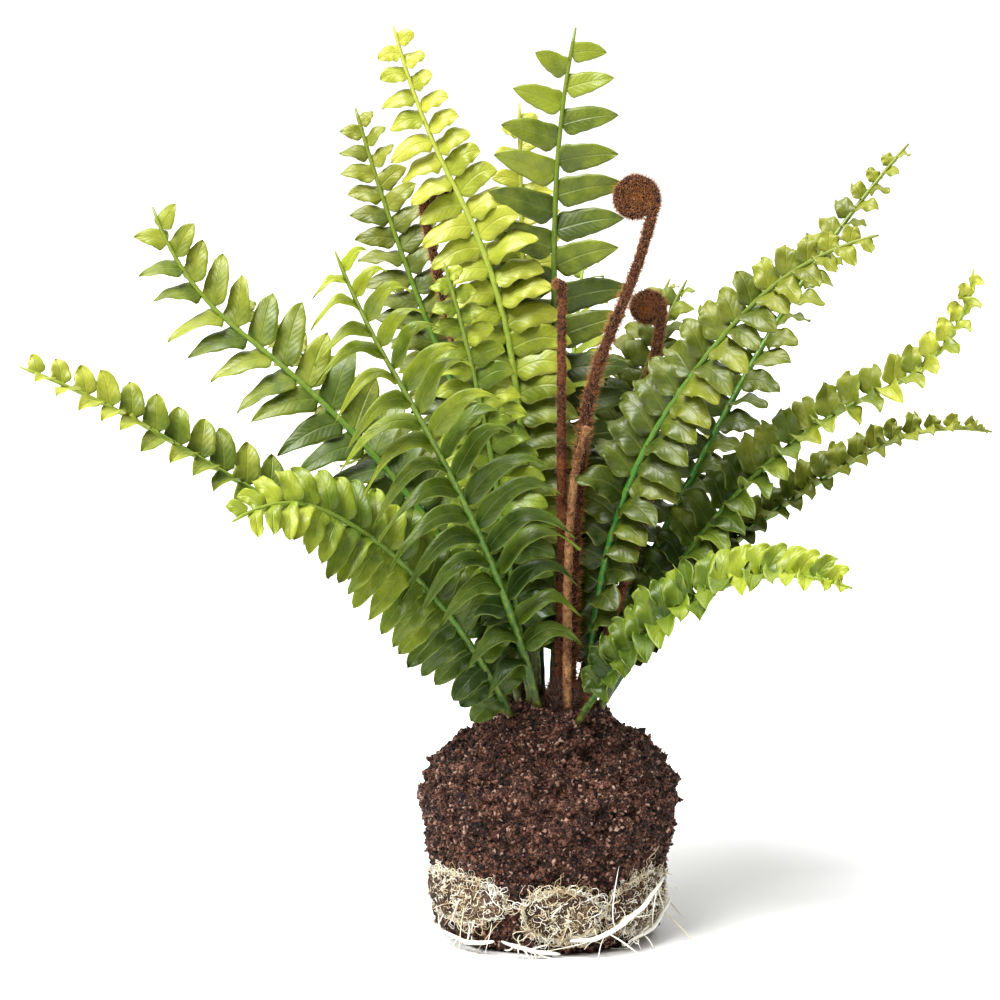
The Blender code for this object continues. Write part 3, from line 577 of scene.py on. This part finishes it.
crownLook = dict(hairs=4200, hairLength=0.0032, voxel=0.0009, lump=0.0011, dark=(0.008, 0.003, 0.002),
                 lit=(0.070, 0.022, 0.010), hairFoot=(0.024, 0.007, 0.003), hairTip=(0.200, 0.072, 0.026))


def readTube(node, fromLowest):
    # centres and radii of a round tube of the frame, from one end to the other
    near, places = readNode(node)
    middle = sum(places, Vector()) / len(places)
    if fromLowest:
        end = min(places, key=lambda place: place.z)
    else:
        end = max(places, key=lambda place: (place - middle).length)
    layer = set(sorted(range(len(places)), key=lambda i: (places[i] - end).length)[:6])
    seen = set()
    centres, radii = [], []
    while layer:
        centre = sum((places[i] for i in layer), Vector()) / len(layer)
        centres.append(centre)
        radii.append(sum((places[i] - centre).length for i in layer) / len(layer))
        seen |= layer
        layer = set().union(*(near[i] for i in layer)) - seen
    return centres, radii


def finer(points, radii, step):
    # a smooth line through the points, with a point about every step
    points = np.array([np.array(point) for point in points])
    radii = np.array(radii, float)
    lengths = np.linalg.norm(np.diff(points, axis=0), axis=1)
    ends = np.vstack([2 * points[0] - points[1], points, 2 * points[-1] - points[-2]])
    line, thick = [], []
    for i, length in enumerate(lengths):
        count = max(1, int(round(length / step)))
        a, b, c, d = ends[i], ends[i + 1], ends[i + 2], ends[i + 3]
        for part in range(count):
            t = part / count
            line.append(0.5 * (2 * b + (c - a) * t + (2 * a - 5 * b + 4 * c - d) * t ** 2
                               + (3 * b - a - 3 * c + d) * t ** 3))
            thick.append(radii[i] + (radii[i + 1] - radii[i]) * t)
    line.append(points[-1])
    thick.append(radii[-1])
    return np.array(line), np.array(thick)


def addHairs(pile, roots, outs, length, rng, along=0, kind=1):
    # short bent hairs, each a thin spike of two rings and a point
    count, sides = len(roots), hair["sides"]
    ways = unit(outs + rng.normal(size=(count, 3)) * hair["lean"] + along)
    bends = rng.normal(size=(count, 3)) * hair["curl"]
    sizes = length * (0.45 + 0.9 * rng.random((count, 1)))
    side = unit(np.cross(ways, rng.normal(size=(count, 3))))
    other = np.cross(ways, side)
    turns = np.linspace(0, math.tau, sides, endpoint=False)
    points, grows = [], []
    tone = rng.random(count)
    for share in (0.0, 0.55):
        centre = roots + ways * sizes * share + bends * sizes * 0.35 * share ** 2
        thick = hair["width"] * (1 - 0.6 * share)
        for turn in turns:
            points.append(centre + thick * (math.cos(turn) * side + math.sin(turn) * other))
            grows.append(np.stack([np.full(count, share), tone, np.zeros(count)], axis=1))
    points.append(roots + ways * sizes + bends * sizes * 0.35)
    grows.append(np.stack([np.ones(count), tone, np.zeros(count)], axis=1))
    points = np.stack(points, axis=1)
    after = [(i + 1) % sides for i in range(sides)]
    walls = [(i, after[i], after[i] + sides, i + sides) for i in range(sides)]
    tips = [(i + sides, after[i] + sides, 2 * sides) for i in range(sides)] + [(2, 1, 0)]
    starts = np.arange(count)[:, None, None] * (2 * sides + 1)
    walls, tips = (np.array(faces)[None] + starts for faces in (walls, tips))
    grow = np.stack(grows, axis=1).reshape(-1, 3)
    pile.add(points, walls.reshape(-1, 4), grow, None, kind, tips.reshape(-1, 3))


def stemUpToHead(centres):
    # how many of the frame's centres belong to the stem: the head starts where the line turns back
    top = max(range(len(centres)), key=lambda i: centres[i].z)
    while top > 2 and (centres[top] - centres[top - 1]).length < 0.010:
        top -= 1
    return top + 1


def tightHead(centres, radii, stem, turns):
    # the curled head wound again inside its own disc, each turn lying on the one before
    stemEnd, last = centres[stem - 1], np.array([centre[:] for centre in centres[stem:]])
    middle = Vector(last.mean(axis=0))
    way = (centres[stem - 1] - centres[stem - 2]).normalized()
    inward = middle - stemEnd
    inward = inward - way * inward.dot(way)
    outer = max((Vector(point) - stemEnd).dot(inward.normalized()) for point in last) / 2
    inward.normalize()
    centre = stemEnd + inward * outer
    thick = radii[stem - 1]
    count = int(turns * 16)
    found, thin = list(centres[:stem]), list(radii[:stem])
    for i in range(1, count + 1):
        share = i / count
        turn = math.tau * turns * share
        reach = outer * (1 - share) ** 0.85 + 0.0003
        found.append(centre - inward * math.cos(turn) * reach + way * math.sin(turn) * reach)
        thin.append(thick * (1 - 0.62 * share ** 0.8) * 0.92)
    return found, thin


def growCrosier(node, look, materials):
    centres, radii = readTube(node, True)
    rng = np.random.default_rng(sum(map(ord, node)))
    stemLine = stemUpToHead(centres) if look["turns"] else len(centres)
    if look["turns"]:
        centres, radii = tightHead(centres, radii, stemLine, look["turns"])
    line, thick = finer(centres, radii, 0.0014)
    sides = 12
    wobble = look["wobble"]

    def rough(ring, centre, i):
        found = []
        for point in ring:
            bump = noise.noise(Vector(point) * 420) + 0.6 * noise.noise(Vector(point) * 1100)
            found.append(centre + (point - centre) * (1 + wobble * bump))
        return np.array(found)

    tube = tubeRings(line, thick, sides, rough)
    pile = MeshPile()
    last = len(line) - 1
    pile.add(tube, gridFaces(len(line), sides, closed=True), tubeGrow(len(line), sides, 0.5), None, 0,
             tubeEnds(len(line), sides))
    total = look["hairs"] + look["headHairs"]
    headFrom = last - int(last * 0.42) if look["turns"] else last - 4
    allOver = rng.uniform(2, last, look["hairs"])
    reach = np.concatenate([allOver, rng.uniform(headFrom, last, look["headHairs"])])
    at = reach.astype(int)
    part = (reach - at)[:, None]
    turn = rng.integers(0, sides, total)
    side = rng.random((total, 1))
    walls = tube[at, turn] * side + tube[at, (turn + 1) % sides] * (1 - side)
    above = tube[at + 1, turn] * side + tube[at + 1, (turn + 1) % sides] * (1 - side)
    roots = walls * (1 - part) + above * part
    outs = unit(roots - line[at] * (1 - part) - line[at + 1] * part)
    ways = unit(np.gradient(line, axis=0))[at]
    length = np.where(at >= headFrom, 0.55 if look["turns"] else 1.3, 1.0)[:, None] * look["hairLength"]
    addHairs(pile, roots, outs, length, rng, ways * 0.5)
    return pile.build(look["piece"], materials, "crosier_fur", [node])


def furMaterials(name, tones):
    # the fuzzy skin, then the hairs on it
    skin = Nodes(name + "Skin")
    streak = skin.grain(700, 5, 0.8)
    share = skin.blend(streak, 0.7, skin.grain(90, 3), 0.5)
    skin.surface(skin.ramp(share, ((0.50, tones["dark"]), (0.74, tones["lit"]))), 0.8)
    skin.bump(streak, 0.0011, 1.0)
    hairs = Nodes(name + "Hair")
    grow = hairs.growth()
    share = hairs.blend(grow["X"], 0.7, grow["Y"], 0.4)
    hairs.surface(hairs.ramp(share, ((0.05, tones["hairFoot"]), (0.75, tones["hairTip"]))), 0.55)
    hairs.shader.inputs["Sheen Weight"].default_value = 0.3
    return [skin.material, hairs.material]


def rumple(points, coarse, share, fine):
    # an uneven height for each point, from a coarse noise and a share of a fine one
    return np.array([noise.noise(Vector(point) * coarse) + share * noise.noise(Vector(point) * fine)
                     for point in points])


def remeshed(node, voxel):
    # the frame's solid as a fine, even skin: points, normals and quads
    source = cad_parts[node].data.copy()
    copy = bpy.data.objects.new("skin", source)
    bpy.context.scene.collection.objects.link(copy)
    fine = copy.modifiers.new("fine", "REMESH")
    fine.mode = "VOXEL"
    fine.voxel_size = voxel
    bpy.context.view_layer.update()
    skin = bpy.data.meshes.new_from_object(copy.evaluated_get(bpy.context.evaluated_depsgraph_get()))
    points = np.empty(len(skin.vertices) * 3, np.float32)
    skin.vertices.foreach_get("co", points)
    normals = np.empty(len(skin.vertices) * 3, np.float32)
    skin.vertices.foreach_get("normal", normals)
    quads = np.array([face.vertices[:] for face in skin.polygons])
    bpy.data.objects.remove(copy)
    bpy.data.meshes.remove(skin)
    bpy.data.meshes.remove(source)
    return points.reshape(-1, 3).astype(float), normals.reshape(-1, 3).astype(float), quads


def makeCrown():
    points, normals, quads = remeshed("rhizome_crown", crownLook["voxel"])
    points = points + normals * (rumple(points, 330, 0.5, 900) * crownLook["lump"])[:, None]
    rng = np.random.default_rng(4)
    pile = MeshPile()
    pile.add(points, quads, (0.5, 0.5, 0.5))
    pick = rng.integers(0, len(points), crownLook["hairs"])
    addHairs(pile, points[pick], normals[pick], crownLook["hairLength"], rng, np.array((0, 0, 0.4)))
    pile.build("rhizomeCrown", furMaterials("rhizome", crownLook), "rhizome_fur", ["rhizome_crown"])
    print("rhizome crown made")


def makeCrosiers():
    materials = {tone: furMaterials("crosier_" + tone, tones) for tone, tones in crosierTones.items()}
    for node, own in crosierLooks.items():
        look = {**usualCrosier, **own}
        growCrosier(node, look, materials[look["tone"]])
    print("crosiers made")


# root ball: a crumbly skin of peat with loose crumbs and coir on it

peat = dict(voxel=0.00085, lumps=0.0030, clods=0.0034, grains=0.0014, crumbs=15500, crumbSize=0.00048,
            bigCrumbs=500, bigCrumbSize=0.00064, coir=420, coirLength=0.0050, coirWidth=0.00007,
            dark=(0.003, 0.001, 0.001), brown=(0.080, 0.031, 0.018), red=(0.360, 0.164, 0.108),
            pale=(0.780, 0.540, 0.420))


def peatSkin():
    points, normals, quads = remeshed("root_ball", peat["voxel"])
    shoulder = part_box("root_ball")[1].z * 0.68
    lift = []
    for point in points:
        place = Vector(point)
        lump = noise.noise(place * 75) + 0.7 * noise.noise(place * 150)
        clod = 0.60 - noise.voronoi(place * 190 + noise.noise_vector(place * 300) * 0.5)[0][0]
        grain = 0.55 - noise.voronoi(place * 560)[0][0]
        crumbly = 0.6 + 0.9 * math.exp(-((point[2] - shoulder) / 0.020) ** 2)
        lift.append((peat["lumps"] * lump + peat["clods"] * clod) * crumbly + peat["grains"] * grain)
    lift = np.array(lift) - 0.0004
    rest = smooth(0.0, 0.004, points[:, 2])
    points = points + normals * (lift * rest)[:, None]
    points[:, 2] = np.maximum(points[:, 2], 0.0002)
    return points, normals, quads


def addCrumbs(pile, points, normals, count, size, rng):
    # rough little blocks, each turned its own way and half sunk in the skin
    corners = np.array([(x, y, z) for x in (-1, 1) for y in (-1, 1) for z in (-1, 1)]) * 0.62
    walls = np.array([(0, 1, 3, 2), (4, 6, 7, 5), (0, 4, 5, 1), (2, 3, 7, 6), (0, 2, 6, 4), (1, 5, 7, 3)])
    pick = rng.integers(0, len(points), count)
    pick = pick[points[pick, 2] > 2 * size]
    count = len(pick)
    shapes = corners * (1 + 0.28 * rng.normal(size=(count, 8, 1))) * rng.uniform(0.35, 2.0, (count, 1, 3))
    turns = np.linalg.qr(rng.normal(size=(count, 3, 3)))[0]
    turns[:, :, 0] *= np.sign(np.linalg.det(turns))[:, None]
    shapes = np.einsum("nij,njk->nik", shapes, turns) * size * rng.uniform(0.5, 1.6, (count, 1, 1))
    shapes = shapes + (points[pick] + normals[pick] * size * 0.35)[:, None]
    shapes[:, :, 2] = np.maximum(shapes[:, :, 2], 0.0001)
    grow = np.stack([rng.random(count), rng.random(count), np.ones(count)], axis=1)
    faces = (walls[None] + np.arange(count)[:, None, None] * 8).reshape(-1, 4)
    pile.add(shapes, faces, np.repeat(grow, 8, axis=0))


def addFibre(pile, line, radius, sides, tone, kind, taper=0.5):
    last = len(line) - 1
    shares = np.arange(last + 1) / last
    radii = radius * (1 - taper * np.abs(2 * shares - 1) ** 3)
    tube = tubeRings(line, radii, sides)
    pile.add(tube, gridFaces(last + 1, sides, closed=True), tubeGrow(last + 1, sides, tone), None, kind,
             tubeEnds(last + 1, sides))


def peatMaterial():
    nodes = Nodes("peat")
    grow = nodes.growth()
    fine = nodes.grain(1500, 4, 0.7)
    share = nodes.blend(nodes.grain(170, 4, 0.6), 0.35, fine, 0.65)
    tones = [peat[name] for name in ("dark", "brown", "red", "pale")]
    colour = nodes.ramp(share, tuple(zip((0.44, 0.51, 0.59, 0.70), tones)))
    chips = nodes.ramp(grow["X"], tuple(zip((0.22, 0.50, 0.82, 1.0), tones)))
    nodes.surface(nodes.tint(grow["Z"], 0.84, colour, chips), 0.55)
    nodes.bump(fine, 0.0010, 1.0)
    return nodes.material


def coirMaterial():
    nodes = Nodes("coir")
    stops = ((0.0, (0.05, 0.02, 0.01)), (0.7, (0.16, 0.07, 0.03)), (1.0, (0.34, 0.20, 0.11)))
    nodes.surface(nodes.ramp(nodes.growth()["Y"], stops), 0.8)
    return nodes.material


def makeRootBall():
    rng = np.random.default_rng(11)
    points, normals, quads = peatSkin()
    pile = MeshPile()
    pile.add(points, quads, (0.5, 0.5, 0))
    crumbs, grit = MeshPile(), MeshPile()
    addCrumbs(crumbs, points, normals, peat["crumbs"], peat["crumbSize"], rng)
    addCrumbs(grit, points, normals, peat["crumbs"], peat["crumbSize"] * 0.8, rng)
    addCrumbs(grit, points, normals, peat["bigCrumbs"], peat["bigCrumbSize"], rng)
    for i in rng.integers(0, len(points), peat["coir"]):
        way = unit(np.cross(normals[i], rng.normal(size=3))[None])[0]
        bend = rng.normal(size=3)
        t = np.linspace(-0.5, 0.5, 7)[:, None] * peat["coirLength"] * rng.uniform(0.4, 1.5)
        lift = 0.0005 - 30 * t ** 2 * rng.uniform(-0.4, 1)
        line = points[i] + way * t + normals[i] * lift + bend * t ** 2 * 40
        line[:, 2] = np.maximum(line[:, 2], 0.0006)
        addFibre(pile, line, peat["coirWidth"] * rng.uniform(0.6, 1.6), 4, rng.random(), 1)
    materials = [peatMaterial(), coirMaterial()]
    pile.build("peatBall", materials, "peat", ["root_ball"])
    crumbs.build("peatCrumbs", materials, "peat")
    grit.build("peatGrit", materials, "peat")
    print("root ball made")


# roots: felted mats of fine fibres, thick roots over them, and loose strands

matLooks = {
    "root_mat_left": dict(fibres=340, run=0.024, loose=14),
    "root_mat_front": dict(fibres=350, run=0.026, loose=4),
    "root_mat_right": dict(fibres=350, run=0.026, loose=8),
    "root_mat_back_left": dict(fibres=280, run=0.026, loose=6),
    "root_mat_back_right": dict(fibres=280, run=0.026, loose=6),
}
thickRoots = {   # how many rootlets each one has
    "root_sweeping": 14,
    "root_low": 8,
    "root_left": 8,
    "root_right": 10,
    "root_back": 12,
}
fibre = dict(radius=0.00013, sides=4, points=22, wander=2.2, depth=0.0030)


class BallSurface:
    # how far out the ball reaches at a height and an angle
    def __init__(self):
        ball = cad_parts["root_ball"].data
        corners = [vert.co for vert in ball.vertices]
        self.tree = BVHTree.FromPolygons(corners, [face.vertices[:] for face in ball.polygons])

    def reach(self, angle, height):
        way = compass(angle)
        hit = self.tree.ray_cast(way * 0.2 + up * max(height, 0.0008), -way)
        return hit[0].xy.length if hit[0] else 0.04

    def point(self, angle, height, out):
        return np.array(compass(angle) * (self.reach(angle, height) + out) + up * max(height, 0.0005))


def matField(node):
    # angles and heights that a mat covers
    points = np.array([vert.co[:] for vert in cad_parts[node].data.vertices])
    middle = points.mean(axis=0)
    centre = math.degrees(math.atan2(middle[1], middle[0]))
    angles = np.degrees(np.arctan2(points[:, 1], points[:, 0]))
    angles = (angles - centre + 180) % 360 - 180 + centre
    return (angles.min(), angles.max()), (points[:, 2].min(), points[:, 2].max())


def wander(surface, start, field, heading, run, rng):
    # a line that curls over the ball and turns back where its mat ends
    (middle, half), (centre, tall) = field
    angle, height = start
    count = fibre["points"]
    step = run / (count - 1)
    phase = rng.random(2) * 100
    depth = fibre["depth"] * rng.uniform(0.2, 1.0)
    found = []
    for i in range(count):
        radius = surface.reach(angle, height)
        lift = depth * (0.5 + abs(noise.noise(Vector((i * 0.30, phase[1], 5)))) * 1.5)
        found.append(surface.point(angle, height, lift))
        outside = math.hypot((angle - middle) / half, (height - centre) / tall)
        sharper = 1.6 if outside > 1 else 1
        heading += noise.noise(Vector((i * 0.25, phase[0], 0))) * fibre["wander"] * sharper
        if outside > 1.1:
            home = math.atan2(centre - height, math.radians(middle - angle) * radius)
            heading += math.sin(home - heading) * 0.8
        angle += math.degrees(step * math.cos(heading) / max(radius, 0.02))
        height = max(height + step * math.sin(heading), 0.0006)
    return np.array(found)


def makeMat(node, look, surface, materials):
    (start, stop), (low, high) = matField(node)
    rng = np.random.default_rng(sum(map(ord, node)))
    pile = MeshPile()
    middle, half = (start + stop) / 2, (stop - start) / 2
    centre, tall = (low + high) / 2, (high - low) / 2
    points, normals, quads = remeshed(node, 0.0008)
    points = points + normals * (rumple(points, 500, 0.7, 1500) * 0.0006 - 0.0006)[:, None]
    pile.add(points, quads, (0.5, 0.35, 0), None, 1)
    for i in range(look["fibres"]):
        turn, reach = rng.random() * math.tau, math.sqrt(rng.random())
        place = (middle + half * reach * math.cos(turn), centre + tall * reach * math.sin(turn))
        line = wander(surface, place, ((middle, half), (centre, tall)), rng.random() * math.tau,
                      look["run"] * rng.uniform(0.5, 1.4), rng)
        addFibre(pile, line, fibre["radius"] * rng.uniform(0.6, 1.8), fibre["sides"], rng.random(), 0)
    for i in range(look["loose"]):
        base = surface.point(middle + half * rng.uniform(-1, 1), centre + tall * rng.uniform(-1, 0.6), 0.001)
        out = unit((base * (1, 1, 0) / 0.045 * rng.uniform(0.2, 1) + rng.normal(size=3) * 0.5)[None])[0]
        t = np.linspace(0, 1, 14)[:, None]
        reach = rng.uniform(0.005, 0.013)
        line = base + out * t * reach + rng.normal(size=3) * t ** 2 * reach * 0.6
        line[:, 2] = np.maximum(line[:, 2] - t[:, 0] ** 2 * 0.006, 0.0005)
        addFibre(pile, line, fibre["radius"] * rng.uniform(1.0, 2.2), fibre["sides"], rng.random(), 0)
    pile.build("rootMat_" + node.replace("root_mat_", ""), materials, "root_fibre", [node])


def makeThickRoot(node, rootlets, materials):
    centres, radii = readTube(node, False)
    line, thick = finer(centres, radii, 0.0009)
    rng = np.random.default_rng(sum(map(ord, node)))
    phase = rng.random() * 50
    sway = np.array([noise.noise_vector(Vector((i * 0.09, phase, 0))) for i in range(len(line))])
    line = line + sway * 0.0008
    line[:, 2] = np.maximum(line[:, 2], 0.0011)
    swell = np.array([noise.noise(Vector((i * 0.35, phase, 9))) for i in range(len(line))])
    thick = thick * (1 + 0.18 * swell)
    thick[0] *= 0.4
    thick[-1] *= 0.4
    sides = 10
    pile = MeshPile()
    pile.add(tubeRings(line, thick, sides), gridFaces(len(line), sides, closed=True),
             tubeGrow(len(line), sides, 0.8), None, 0, tubeEnds(len(line), sides))
    for i in rng.integers(2, len(line) - 2, rootlets):
        way = unit((line[i + 1] - line[i] + rng.normal(size=3) * 0.0012)[None])[0]
        t = np.linspace(0, 1, 12)[:, None]
        size = rng.uniform(0.005, 0.020)
        strand = line[i] + way * t * size + rng.normal(size=3) * t ** 2 * size * 0.5
        strand[:, 2] = np.maximum(strand[:, 2], 0.0005)
        radius = fibre["radius"] * rng.uniform(1.2, 3.2)
        addFibre(pile, strand, radius, fibre["sides"] + 2, rng.uniform(0.4, 1), 0, 0.8)
    pile.build("thickRoot_" + node.replace("root_", ""), materials, "root_fibre", [node])


def rootMaterials():
    # the fibres, then the felt under them
    fibres = Nodes("rootFibre")
    stops = ((0.0, (0.50, 0.36, 0.18)), (0.30, (0.80, 0.70, 0.48)), (0.8, (0.94, 0.92, 0.84)))
    colour = fibres.ramp(fibres.growth()["Y"], stops)
    stain = fibres.steps(fibres.grain(160, 4, 0.6), 0.58, 0.78)
    fibres.surface(fibres.mix(stain, colour, (0.34, 0.20, 0.10)), 0.55)
    fibres.bump(fibres.grain(1500, 3), 0.00015, 0.6)
    felt = Nodes("rootFelt")
    weave = felt.grain(1000, 5, 0.8)
    share = felt.blend(weave, 0.75, felt.grain(120, 3), 0.35)
    stops = ((0.46, (0.020, 0.009, 0.006)), (0.58, (0.12, 0.065, 0.036)), (0.74, (0.52, 0.40, 0.24)))
    felt.surface(felt.ramp(share, stops), 0.85)
    felt.bump(weave, 0.0010, 1.0)
    return [fibres.material, felt.material]


def makeRoots():
    surface = BallSurface()
    materials = rootMaterials()
    for node, look in matLooks.items():
        makeMat(node, look, surface, materials)
    for node, rootlets in thickRoots.items():
        makeThickRoot(node, rootlets, materials)
    print("roots made")


# camera, light and floor

view = dict(height=8, distance=1.5, target=(-0.0196, 0, 0.176), lens=135)


def makeCamera():
    tilt = math.radians(view["height"])
    camera = bpy.data.cameras.new("camera")
    camera.lens = view["lens"]
    camera.sensor_width = 36
    eye = bpy.data.objects.new("camera", camera)
    back = Vector((0, -math.cos(tilt), math.sin(tilt))) * view["distance"]
    eye.location = Vector(view["target"]) + back
    eye.rotation_euler = back.to_track_quat("Z", "Y").to_euler()
    bpy.context.scene.collection.objects.link(eye)
    bpy.context.scene.camera = eye


# lamps far off, so that the floor is lit evenly: from where, how wide in degrees, how strong
lights = {
    "key": dict(comesFrom=(-0.50, -0.42, 1.0), wide=36, power=4.8),
    "top": dict(comesFrom=(0.1, 0.1, 1.4), wide=110, power=1.4),
    "back": dict(comesFrom=(0.15, 0.9, 1.1), wide=60, power=0.9),
}
studio = dict(surround=0.13, backdrop=1.0, floorReach=4.0, floorGrey=0.86)


def makeLights():
    for name, one in lights.items():
        lamp = bpy.data.lights.new(name, "SUN")
        lamp.energy = one["power"]
        lamp.angle = math.radians(one["wide"])
        shine = bpy.data.objects.new(name, lamp)
        shine.rotation_euler = Vector(one["comesFrom"]).to_track_quat("Z", "Y").to_euler()
        bpy.context.scene.collection.objects.link(shine)
    world = bpy.data.worlds.new("studio")
    world.use_nodes = True
    tree = world.node_tree
    path = tree.nodes.new("ShaderNodeLightPath")
    strength = tree.nodes.new("ShaderNodeMapRange")
    strength.inputs["To Min"].default_value = studio["surround"]
    strength.inputs["To Max"].default_value = studio["backdrop"]
    tree.links.new(path.outputs["Is Camera Ray"], strength.inputs["Value"])
    tree.links.new(strength.outputs["Result"], tree.nodes["Background"].inputs["Strength"])
    tree.nodes["Background"].inputs["Color"].default_value = (1, 1, 1, 1)
    bpy.context.scene.world = world
    bpy.context.scene.view_settings.view_transform = "Standard"
    bpy.context.scene.view_settings.look = "Medium High Contrast"


def makeFloor():
    mesh = bpy.data.meshes.new("floor")
    reach = studio["floorReach"]
    corners = [(-reach, -reach, 0), (reach, -reach, 0), (reach, reach, 0), (-reach, reach, 0)]
    mesh.from_pydata(corners, [], [(0, 1, 2, 3)])
    floor = bpy.data.objects.new("floor", mesh)
    nodes = Nodes("paleFloor")
    nodes.surface((studio["floorGrey"],) * 3, 0.7)
    mesh.materials.append(nodes.material)
    bpy.context.scene.collection.objects.link(floor)
    print("floor laid")


makeCamera()
makeLights()
makeFloor()
makeFronds()
makeCrosiers()
makeCrown()
makeRootBall()
makeRoots()
